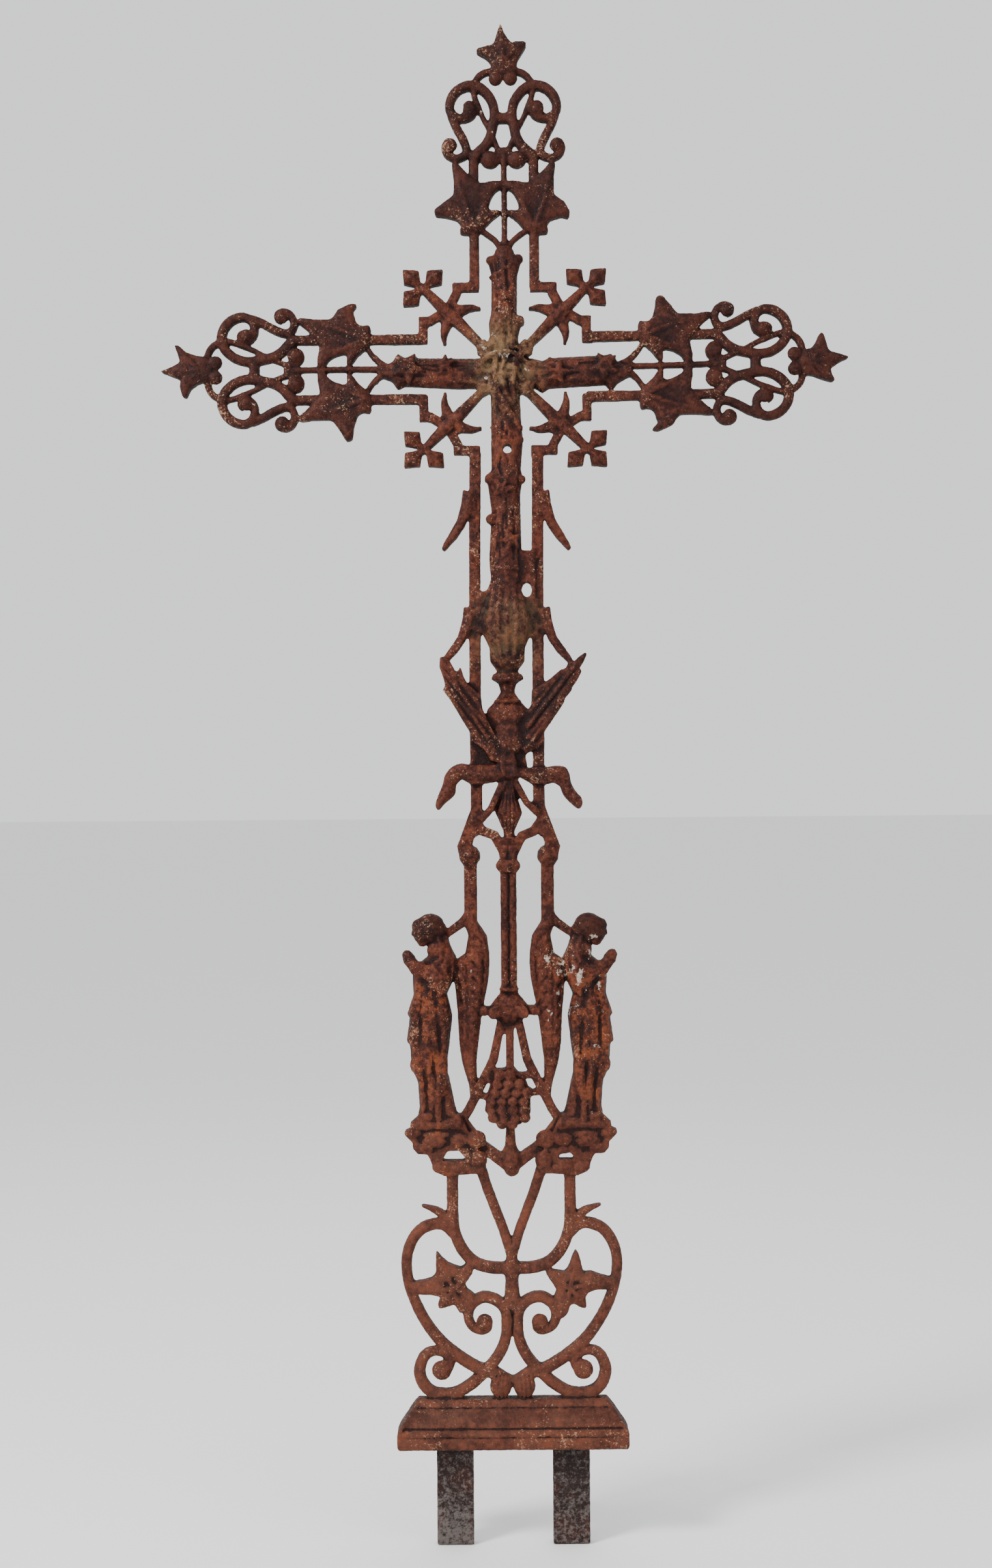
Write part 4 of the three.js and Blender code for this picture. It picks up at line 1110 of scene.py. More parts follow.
class ShapeTree(Graph):
    """A Geometry Nodes tree that turns an object's geometry into a solid of the casting."""

    def __init__(self, name: str, material: bpy.types.Material, **inputs: str) -> None:
        """Starts the tree.

        Args:
            name: Its name.
            material: The material of what it makes.
            **inputs: The type of each of its sizes, Float or Int, by name.
        """
        super().__init__(bpy.data.node_groups.new(name, "GeometryNodeTree"))
        self.material = material
        face = self.tree.interface
        face.new_socket("Geometry", in_out="INPUT", socket_type="NodeSocketGeometry")
        self.sizes = {
            size: face.new_socket(size, in_out="INPUT", socket_type="NodeSocket" + kind).identifier
            for size, kind in inputs.items()
        }
        face.new_socket("Geometry", in_out="OUTPUT", socket_type="NodeSocketGeometry")
        self.start = self.node("NodeGroupInput")

    def given(self, name: str) -> Socket:
        """Returns the tree's input of that name."""
        return Socket(self, self.start.outputs[name])

    def enabled(self, kind: str, inputs: dict) -> Socket:
        """Returns the number of a node whose type of data is chosen as a number.

        Args:
            kind: The node's type.
            inputs: Its inputs by name.

        Returns:
            The number.
        """
        made = self.node(kind, inputs, data_type="FLOAT")
        return Socket(self, next(output for output in made.outputs if output.enabled))

    def sweep(self, curve: Socket, width: Socket) -> Socket:
        """Sweeps a circle of the input Sides along a curve, with closed ends.

        Args:
            curve: The curve.
            width: The circle's radius along the curve.

        Returns:
            The mesh.
        """
        circle = self.value("GeometryNodeCurvePrimitiveCircle", "Curve",
                            {"Resolution": self.given("Sides"), "Radius": 1.0})
        inputs = {"Curve": curve, "Profile Curve": circle, "Scale": width, "Fill Caps": True}
        return self.value("GeometryNodeCurveToMesh", "Mesh", inputs)

    def end(self, shape: Socket) -> None:
        """Ends the tree with real geometry that has the material."""
        real = self.value("GeometryNodeRealizeInstances", "Geometry", {"Geometry": shape})
        inputs = {"Geometry": real, "Material": self.material}
        self.node("NodeGroupOutput", {"Geometry": self.value("GeometryNodeSetMaterial", "Geometry", inputs)})

    def run(self, data: bpy.types.ID, **sizes: float) -> bpy.types.Mesh:
        """Runs the tree.

        Args:
            data: The mesh or curve that it starts from.
            **sizes: Its sizes by name.

        Returns:
            The result as a plain mesh.
        """
        obj = put_object(self.tree.name, data)
        modifier = obj.modifiers.new(self.tree.name, "NODES")
        modifier.node_group = self.tree
        for name, value in sizes.items():
            modifier[self.sizes[name]] = value
        mesh = solid_mesh(obj, self.tree.name)
        drop(obj)
        return mesh


class GrapeTree(ShapeTree):
    """Puts a berry on every vertex of a mesh."""

    def __init__(self, material: bpy.types.Material) -> None:
        """Builds the tree.

        Args:
            material: The berries' material.
        """
        super().__init__("berries", material, Radius="Float", Unevenness="Float", Seed="Int")
        ball = {"Subdivisions": 3, "Radius": self.given("Radius")}
        berry = self.value("GeometryNodeMeshIcoSphere", "Mesh", ball)
        largest = 1.0 + self.given("Unevenness")
        spread = {"Min": 1.0, "Max": largest, "Seed": self.given("Seed")}
        size = self.enabled("FunctionNodeRandomValue", spread)
        inputs = {"Points": self.given("Geometry"), "Instance": berry, "Scale": size}
        self.end(self.value("GeometryNodeInstanceOnPoints", "Instances", inputs))


class CordTree(ShapeTree):
    """Sweeps a round section along a curve, with the curve's own radii."""

    def __init__(self, material: bpy.types.Material) -> None:
        """Builds the tree for cords of a material."""
        super().__init__("cords", material, Sides="Int")
        self.end(self.sweep(self.given("Geometry"), self.value("GeometryNodeInputRadius", "Radius")))


class BarTree(ShapeTree):
    """Sweeps a flat-backed section with a rounded front along edges.

    Each point's own half width is read from the attribute of that name.
    """

    ATTRIBUTE = "half_width"
    FRONT_POWER = 0.55
    BACK_POWER = 0.20

    def __init__(self, material: bpy.types.Material) -> None:
        """Builds the tree.

        Args:
            material: The bars' material.
        """
        super().__init__("bars", material, Front="Float", Back="Float", Sides="Int")
        path = self.value("GeometryNodeMeshToCurve", "Curve", {"Mesh": self.given("Geometry")})
        half = self.enabled("GeometryNodeInputNamedAttribute", {"Name": self.ATTRIBUTE})
        wide = self.value("GeometryNodeSetCurveRadius", "Curve", {"Curve": path, "Radius": half})
        x, y, z = self.axes(self.value("GeometryNodeInputPosition", "Position"))
        share = y / half
        size = self.math("MINIMUM", self.math("ABSOLUTE", share), 1.0)
        behind = self.math("GREATER_THAN", share, 0.0)
        grown = self.math("POWER", size, self.FRONT_POWER - behind * (self.FRONT_POWER - self.BACK_POWER))
        reach = behind * self.given("Back") + (1 - behind) * self.given("Front")
        spot = self.value("ShaderNodeCombineXYZ", 0, {"X": x, "Y": grown * reach, "Z": z})
        inputs = {"Geometry": self.sweep(wide, half), "Position": spot}
        self.end(self.value("GeometryNodeSetPosition", "Geometry", inputs))


def put_object(name: str, data: bpy.types.ID) -> bpy.types.Object:
    """Links an object to the scene.

    Args:
        name: The object's name.
        data: Its mesh or curve.

    Returns:
        The object.
    """
    obj = bpy.data.objects.new(name, data)
    bpy.context.scene.collection.objects.link(obj)
    return obj


def solid_mesh(obj: bpy.types.Object, name: str) -> bpy.types.Mesh:
    """Returns an object's shape with its modifiers, as a plain mesh.

    Args:
        obj: The object.
        name: The mesh's name.

    Returns:
        The mesh.
    """
    graph = bpy.context.evaluated_depsgraph_get()
    mesh = bpy.data.meshes.new_from_object(obj.evaluated_get(graph), depsgraph=graph)
    mesh.name = name
    return mesh


def shaped_mesh(shape: bmesh.types.BMesh, name: str) -> bpy.types.Mesh:
    """Returns a shape as a mesh and frees the shape.

    Args:
        shape: The shape.
        name: The mesh's name.

    Returns:
        The mesh.
    """
    mesh = bpy.data.meshes.new(name)
    shape.to_mesh(mesh)
    shape.free()
    return mesh


def drop(obj: bpy.types.Object) -> None:
    """Removes an object that was only a step."""
    bpy.data.objects.remove(obj, do_unlink=True)


def read_rows(mesh: bpy.types.Mesh, name: str) -> np.ndarray:
    """Returns a vector of each vertex.

    Args:
        mesh: The mesh.
        name: The vector's name, co or normal.

    Returns:
        The vectors, one row each.
    """
    rows = np.empty(len(mesh.vertices) * 3)
    mesh.vertices.foreach_get(name, rows)
    return rows.reshape(-1, 3)


def move_vertices(mesh: bpy.types.Mesh, places: np.ndarray) -> None:
    """Moves a mesh's vertices to places given one row each."""
    mesh.vertices.foreach_set("co", places.ravel())
    mesh.update()


@dataclass
class Mould:
    """Collects the solids that are fused into the casting.

    Attributes:
        material: The casting's material.
        kept: Low and high corners of the boxes within which the node's own solid is kept, in millimetres.
        parts: The collected meshes.
    """

    material: bpy.types.Material
    kept: tuple[tuple[Point3, Point3], ...]
    parts: list[bpy.types.Mesh] = field(default_factory=list)

    def add_node(self, node: bpy.types.Object) -> None:
        """Adds a copy of a CAD node with its shared vertices merged.

        Args:
            node: The CAD node's object.
        """
        shape = bmesh.new()
        shape.from_mesh(node.data)
        bmesh.ops.remove_doubles(shape, verts=shape.verts, dist=1e-6)
        copy = put_object("node_copy", shaped_mesh(shape, "node_copy"))
        for low, high in self.kept:
            box = put_object("kept_box", self.box_mesh(low, high))
            cut = copy.modifiers.new("cut", "BOOLEAN")
            cut.operation = "INTERSECT"
            cut.solver = "EXACT"
            cut.object = box
            self.parts.append(solid_mesh(copy, "node_kept"))
            copy.modifiers.remove(cut)
            drop(box)
        drop(copy)

    @staticmethod
    def box_mesh(low: Point3, high: Point3) -> bpy.types.Mesh:
        """Returns a box.

        Args:
            low: Its low corner in millimetres.
            high: Its high corner in millimetres.

        Returns:
            The mesh.
        """
        shape = bmesh.new()
        size = [(b - a) * MM for a, b in zip(low, high)]
        middle = [(a + b) / 2 * MM for a, b in zip(low, high)]
        place = Matrix.Translation(middle) @ Matrix.Diagonal((*size, 1.0))
        bmesh.ops.create_cube(shape, size=1.0, matrix=place)
        return shaped_mesh(shape, "kept_box")

    def add_bars(self, bars: Sequence[Bar], back: float = 5.0, sides: int = 14) -> None:
        """Adds flat-backed bars, swept by Geometry Nodes.

        Args:
            bars: The bars.
            back: Where their backs are.
            sides: Sides of their section.
        """
        tree = BarTree(self.material)
        for front in sorted({bar.front for bar in bars}):
            points: list[Point3] = []
            edges: list[tuple[int, int]] = []
            halves: list[float] = []
            for bar in (b for b in bars if b.front == front):
                line = smooth_line(bar.points)
                shares = np.linspace(0, 1, len(line))
                widths = np.interp(shares, np.linspace(0, 1, len(bar.widths)), bar.widths)
                edges += [(len(points) + i, len(points) + i + 1) for i in range(len(line) - 1)]
                points += [(x * MM, 0.0, z * MM) for x, z in line]
                halves += [width * MM / 2 for width in widths]
            mesh = bpy.data.meshes.new("bar_lines")
            mesh.from_pydata(points, edges, [])
            mesh.attributes.new(BarTree.ATTRIBUTE, "FLOAT", "POINT").data.foreach_set("value", halves)
            self.parts.append(tree.run(mesh, Front=front * MM, Back=back * MM, Sides=sides))

    def add_plates(self, plates: Sequence[Plate], back: float = 5.0) -> None:
        """Adds flat plates.

        Args:
            plates: The plates.
            back: Where their backs are.
        """
        shape = bmesh.new()
        for plate in plates:
            line = smooth_line(plate.outline, 1.2, True, plate.rounding)
            fronts = [shape.verts.new((x * MM, plate.front * MM, z * MM)) for x, z in line]
            backs = [shape.verts.new((x * MM, back * MM, z * MM)) for x, z in line]
            count = len(line)
            for triangle in tessellate_polygon([[Vector((x, z, 0)) for x, z in line]]):
                shape.faces.new([fronts[i] for i in triangle])
                shape.faces.new([backs[i] for i in reversed(triangle)])
            for i in range(count):
                j = (i + 1) % count
                shape.faces.new((fronts[i], fronts[j], backs[j], backs[i]))
        bmesh.ops.recalc_face_normals(shape, faces=shape.faces)
        self.parts.append(shaped_mesh(shape, "plates"))

    def add_lumps(self, lumps: Sequence[Lump]) -> None:
        """Adds rounded lumps.

        Args:
            lumps: The lumps.
        """
        shape = bmesh.new()
        for lump in lumps:
            place = Matrix.Translation(Vector(lump.centre) * MM)
            turn = Matrix.Rotation(math.radians(lump.turn), 4, "Y")
            size = Matrix.Diagonal((*(r * MM for r in lump.radii), 1.0))
            bmesh.ops.create_icosphere(shape, subdivisions=3, radius=1.0, matrix=place @ turn @ size)
        self.parts.append(shaped_mesh(shape, "lumps"))

    def add_cords(self, cords: Sequence[Cord], sides: int = 12) -> None:
        """Adds round cords, swept by Geometry Nodes.

        Args:
            cords: The cords.
            sides: Sides of their section.
        """
        curve = bpy.data.curves.new("cords", "CURVE")
        curve.dimensions = "3D"
        for cord in cords:
            spline = curve.splines.new("NURBS")
            spline.points.add(len(cord.points) - 1)
            for i, (point, place) in enumerate(zip(spline.points, cord.points)):
                point.co = (*(v * MM for v in place), 1.0)
                share = i / (len(cord.points) - 1)
                point.radius = cord.radius * MM * (1 + (cord.taper - 1) * share)
            spline.order_u = 3
            spline.use_endpoint_u = True
            spline.resolution_u = 6
        self.parts.append(CordTree(self.material).run(curve, Sides=sides))

    def add_grapes(self, grapes: Grapes) -> None:
        """Adds the berries, put in place by Geometry Nodes.

        Args:
            grapes: The bunch.
        """
        mesh = bpy.data.meshes.new("berry_places")
        mesh.from_pydata([tuple(v * MM for v in spot) for spot in grapes.places()], [], [])
        berries = GrapeTree(self.material).run(
            mesh, Radius=grapes.radius * MM, Unevenness=grapes.unevenness, Seed=grapes.seed
        )
        self.parts.append(berries)

    def fuse(self, casting: Casting) -> bpy.types.Mesh:
        """Fuses everything into one closed surface.

        Args:
            casting: How finely.

        Returns:
            The fused mesh.
        """
        shape = bmesh.new()
        for part in self.parts:
            shape.from_mesh(part)
        obj = put_object("fused", shaped_mesh(shape, "fused"))
        remesh = obj.modifiers.new("fuse", "REMESH")
        remesh.mode = "VOXEL"
        remesh.voxel_size = casting.voxel
        smooth = obj.modifiers.new("smooth", "SMOOTH")
        smooth.factor = 0.5
        smooth.iterations = casting.smoothing
        fused = solid_mesh(obj, "fused_surface")
        drop(obj)
        return fused


class Chaser:
    """Draws ridges and grooves on the front of a mesh."""

    def __init__(self, mesh: bpy.types.Mesh) -> None:
        """Reads the mesh to draw on.

        Args:
            mesh: The mesh.
        """
        self.mesh = mesh
        self.places = read_rows(mesh, "co")
        self.facing = np.clip(-read_rows(mesh, "normal")[:, 1] * 1.4, 0, 1)
        self.base, self.up, self.down = np.zeros((3, len(mesh.vertices)))
        self.plan = self.places[:, (0, 2)] / MM
        self.order = np.argsort(self.plan[:, 1])
        self.heights = self.plan[self.order, 1]

    def draw(self, line: Ridge) -> None:
        """Draws one ridge or groove.

        Args:
            line: The ridge.
        """
        points = np.array(line.points)
        low, high = points[:, 1].min() - line.width, points[:, 1].max() + line.width
        span = self.order[np.searchsorted(self.heights, low):np.searchsorted(self.heights, high)]
        plan = self.plan[span]
        near = (plan[:, 0] > points[:, 0].min() - line.width) & (plan[:, 0] < points[:, 0].max() + line.width)
        span = span[near]
        plan = plan[near]
        steps = np.linalg.norm(np.diff(points, axis=0), axis=1)
        starts = np.concatenate([[0], np.cumsum(steps)]) / steps.sum()
        for i, step in enumerate(steps):
            along = (points[i + 1] - points[i]) / step
            share = np.clip((plan - points[i]) @ along / step, 0, 1)
            gap = np.linalg.norm(plan - points[i] - share[:, None] * (points[i + 1] - points[i]), axis=1)
            fade = 1 + (line.end - 1) * (starts[i] + share * (starts[i + 1] - starts[i]))
            rise = np.clip(1 - (gap / line.width) ** 2, 0, 1) ** 1.5 * fade * abs(line.height)
            layer = self.up if line.height > 0 else self.down
            layer[span] = np.maximum(layer[span], rise)

    def pillow(self, plate: Plate) -> None:
        """Swells a plate's front.

        Args:
            plate: The plate.
        """
        line = smooth_line(plate.outline, 1.2, True, plate.rounding)
        low, high = line.min(axis=0), line.max(axis=0)
        span = self.order[np.searchsorted(self.heights, low[1]):np.searchsorted(self.heights, high[1])]
        span = span[(self.plan[span, 0] > low[0]) & (self.plan[span, 0] < high[0])]
        plan = self.plan[span]
        gap = np.full(len(plan), np.inf)
        inside = np.zeros(len(plan), dtype=bool)
        for start, end in zip(line, np.roll(line, -1, axis=0)):
            along = end - start
            share = np.clip((plan - start) @ along / max(along @ along, 1e-9), 0, 1)
            gap = np.minimum(gap, np.linalg.norm(plan - start - share[:, None] * along, axis=1))
            crossed = (start[1] > plan[:, 1]) != (end[1] > plan[:, 1])
            slope = along[0] / along[1] if along[1] else 0.0
            inside ^= crossed & (plan[:, 0] < start[0] + (plan[:, 1] - start[1]) * slope)
        share = np.clip(gap / plate.reach, 0, 1)
        rise = np.where(inside, plate.swell * (1 - (1 - share) ** 2), 0)
        self.base[span] = np.maximum(self.base[span], rise)

    def finish(self) -> None:
        """Moves the mesh's vertices."""
        shift = (self.base + self.up - self.down) * self.facing
        self.places[:, 1] -= shift * MM
        move_vertices(self.mesh, self.places)


def hold_within(mesh: bpy.types.Mesh, box: Sequence[Sequence[float]]) -> None:
    """Keeps a mesh within a box.

    Args:
        mesh: The mesh.
        box: The box's low and high corners in metres.
    """
    move_vertices(mesh, np.clip(read_rows(mesh, "co"), np.array(box[0]), np.array(box[1])))


def mark_shape(mesh: bpy.types.Mesh, rounds: Sequence[int] = (3, 14), depth: float = 0.0011) -> None:
    """Writes an attribute that is over 0.5 in hollows, and the mask of painted shade, which is 1 on faces
    turned aside or down.

    Args:
        mesh: The mesh.
        rounds: Numbers of smoothing rounds that the surface is compared with.
        depth: Depth in metres that counts as a full hollow.
    """
    count = len(mesh.vertices)
    places = read_rows(mesh, "co")
    normals = read_rows(mesh, "normal")
    edges = np.empty(len(mesh.edges) * 2, dtype=int)
    mesh.edges.foreach_get("vertices", edges)
    ends = edges.reshape(-1, 2)
    degree = np.bincount(edges, minlength=count)[:, None]
    value = np.full(count, 0.5)
    smooth = places.copy()
    done = 0
    for stop in rounds:
        for _ in range(stop - done):
            total = np.zeros_like(smooth)
            for axis in range(3):
                total[:, axis] = np.bincount(ends[:, 0], smooth[ends[:, 1], axis], count)
                total[:, axis] += np.bincount(ends[:, 1], smooth[ends[:, 0], axis], count)
            smooth = total / degree
        done = stop
        value += ((smooth - places) * normals).sum(axis=1) / depth * 0.5
    # Mask of painted shade: 0 on faces turned to the front, 1 on those turned aside, down or back.
    side_shade = 1 - np.clip(-normals[:, 1] + 0.35 * np.clip(normals[:, 2], 0, 1), 0, 1)
    for name, values in ((HOLLOW, np.clip(value, 0, 1)), (PAINTED_SHADE, side_shade)):
        mesh.attributes.new(name, "FLOAT", "POINT").data.foreach_set("value", values)


@dataclass(frozen=True)
class Colour:
    """A linear colour."""

    red: float
    green: float
    blue: float

    def rgba(self) -> tuple[float, float, float, float]:
        """Returns the colour with alpha."""
        return self.red, self.green, self.blue, 1.0


class Shader(Graph):
    """Builds one material's nodes."""

    def __init__(self, name: str) -> None:
        """Starts an empty material.

        Args:
            name: Its name.
        """
        self.material = bpy.data.materials.new(name)
        self.material.use_nodes = True
        super().__init__(self.material.node_tree)
        self.tree.nodes.clear()
        self.surface = self.node("ShaderNodeBsdfPrincipled")
        self.node("ShaderNodeOutputMaterial", {"Surface": Socket(self, self.surface.outputs["BSDF"])})
        self.place = self.value("ShaderNodeTexCoord", "Object")

    def noise(self, scale: float, detail: float = 4, rough: float = 0.6) -> Socket:
        """Returns noise over the object, 0 to 1.

        Args:
            scale: Its scale per metre.
            detail: Its octaves.
            rough: Its roughness.

        Returns:
            The noise.
        """
        inputs = {"Vector": self.place, "Scale": scale, "Detail": detail, "Roughness": rough}
        return self.value("ShaderNodeTexNoise", 0, inputs)

    def cells(self, scale: float) -> Socket:
        """Returns the distance to the nearest of scattered points, whose scale is per metre."""
        return self.value("ShaderNodeTexVoronoi", "Distance", {"Vector": self.place, "Scale": scale})

    def attribute(self, name: str) -> Socket:
        """Returns the mesh's own attribute of that name."""
        return self.value("ShaderNodeAttribute", "Fac", attribute_name=name)

    def mix(self, share: Socket, low: "Socket | Colour", high: "Socket | Colour") -> Socket:
        """Returns a mix of two colours.

        Args:
            share: 0 for the first and 1 for the second.
            low: The first colour.
            high: The second.

        Returns:
            The colour.
        """
        colours = [value.rgba() if isinstance(value, Colour) else value for value in (low, high)]
        inputs = {0: share, 6: colours[0], 7: colours[1]}
        return self.value("ShaderNodeMix", 2, inputs, data_type="RGBA", clamp_factor=True)

    def bump(self, height: Socket, distance: float, strength: float, under: Socket | None = None) -> Socket:
        """Returns a bumped normal.

        Args:
            height: The height, 0 to 1.
            distance: What a height of 1 measures, in metres.
            strength: The bump's strength.
            under: The normal that it is added to.

        Returns:
            The normal.
        """
        inputs: dict = {"Height": height, "Distance": distance, "Strength": strength}
        if under is not None:
            inputs["Normal"] = under
        return self.value("ShaderNodeBump", "Normal", inputs)

    def paint(self, **inputs: "Socket | float | tuple") -> bpy.types.Material:
        """Sets the surface's inputs.

        Args:
            **inputs: Values or sockets, with _ for a space in the name.

        Returns:
            The finished material.
        """
        for name, value in inputs.items():
            socket = self.surface.inputs[name.replace("_", " ")]
            if isinstance(value, Socket):
                self.tree.links.new(value.socket, socket)
            else:
                socket.default_value = value
        return self.material


@dataclass(frozen=True)
class Patch:
    """A part of the surface with a colour of its own and soft edges, in metres.

    Attributes:
        across: Distances from the middle line between which it comes up, or fades where they fall.
        low: Heights between which it comes up.
        high: Heights between which it fades.
    """

    across: Point2
    low: Point2
    high: Point2

    def mask(self, across: Socket, height: Socket) -> Socket:
        """Returns 1 in the patch and 0 outside it.

        Args:
            across: The distance across.
            height: The height.

        Returns:
            The mask.
        """
        first, last = self.high
        return across.step(*self.across) * (height.step(*self.low) * height.step(last, first))


@dataclass(frozen=True)
class RustFinish:
    """The colours and grain of the rusted casting, with places in metres and scales per metre.

    Attributes:
        dark: Dark colour of the painted shade in the hollows and on the faces turned aside or down; it also
            darkens the arms' ends and the hair.
        old: Old purple-brown rust.
        brown: The main rust.
        red: Fresher rust.
        orange: Loose bright rust.
        worn_and_highlight: Rubbed edges, made light enough to stand for the highlights along them too: partly
            scuffing, partly painted highlight.
        tan: Flecks of pale dust and old primer.
        dust: Dry brown film low down.
        pale: Lichen and bird-lime.
        moss: Yellowish film in the middle.
        scale: Dark forge scale on the tangs.
        cement: Cement left on the tangs.
        cloud: Scale of the slow change of the rust.
        blotch: Scale of the blotches.
        speck: Scale of the specks.
        grain: Scale of the fine grain.
        pit: Scale of the pits.
        fleck: Scales of the flecks and of the places where they lie thick.
        lichen: Scale of the lichen.
        lower: Heights between which the rust gets fresher downwards.
        dusty: Heights between which the dust gets thicker downwards.
        outer: Distances from the middle line between which the arms darken.
        beam: Heights above which they do.
        top: Heights between which the upper arm darkens.
        figures: The angels' robes.
        hair: The angels' hair.
        crossing: The cloth over the crossing.
        bowl: The vase.
        chest: The breast and wing of the right angel.
        chest_end: Distances across between which that patch fades.
        tangs: Heights between which the tangs' scale begins.
        crusted: Heights between which the cement on them gets thicker downwards.
        roughness: Lowest and highest roughness.
        shine: Strength of the reflection.
    """

    dark: Colour = Colour(0.0085, 0.0032, 0.003)
    old: Colour = Colour(0.0195, 0.0062, 0.0050)
    brown: Colour = Colour(0.030, 0.0068, 0.0046)
    red: Colour = Colour(0.058, 0.0122, 0.0066)
    orange: Colour = Colour(0.20, 0.046, 0.012)
    worn_and_highlight: Colour = Colour(0.125, 0.036, 0.020)
    tan: Colour = Colour(0.34, 0.20, 0.12)
    dust: Colour = Colour(0.150, 0.070, 0.046)
    pale: Colour = Colour(0.42, 0.37, 0.31)
    moss: Colour = Colour(0.180, 0.108, 0.052)
    scale: Colour = Colour(0.012, 0.010, 0.010)
    cement: Colour = Colour(0.15, 0.13, 0.12)
    cloud: float = 11.0
    blotch: float = 46.0
    speck: float = 240.0
    grain: float = 620.0
    pit: float = 520.0
    fleck: Point2 = (520.0, 30.0)
    lichen: float = 95.0
    lower: Point2 = (0.62, 0.12)
    dusty: Point2 = (0.42, 0.12)
    outer: Point2 = (0.06, 0.22)
    beam: Point2 = (0.80, 0.86)
    top: Point2 = (0.98, 1.08)
    figures: Patch = Patch((0.044, 0.052), (0.28, 0.31), (0.39, 0.425))
    hair: Patch = Patch((0.052, 0.058), (0.427, 0.435), (0.456, 0.462))
    crossing: Patch = Patch((0.042, 0.006), (0.87, 0.915), (0.94, 0.975))
    bowl: Patch = Patch((0.04, 0.01), (0.655, 0.675), (0.715, 0.735))
    chest: Patch = Patch((0.024, 0.034), (0.33, 0.37), (0.43, 0.455))
    chest_end: Point2 = (0.088, 0.078)
    tangs: Point2 = (-0.0004, -0.003)
    crusted: Point2 = (-0.03, -0.08)
    roughness: Point2 = (0.56, 0.86)
    shine: float = 0.12

    def build(self) -> bpy.types.Material:
        """Builds the material."""
        return RustCoat(self).paint()


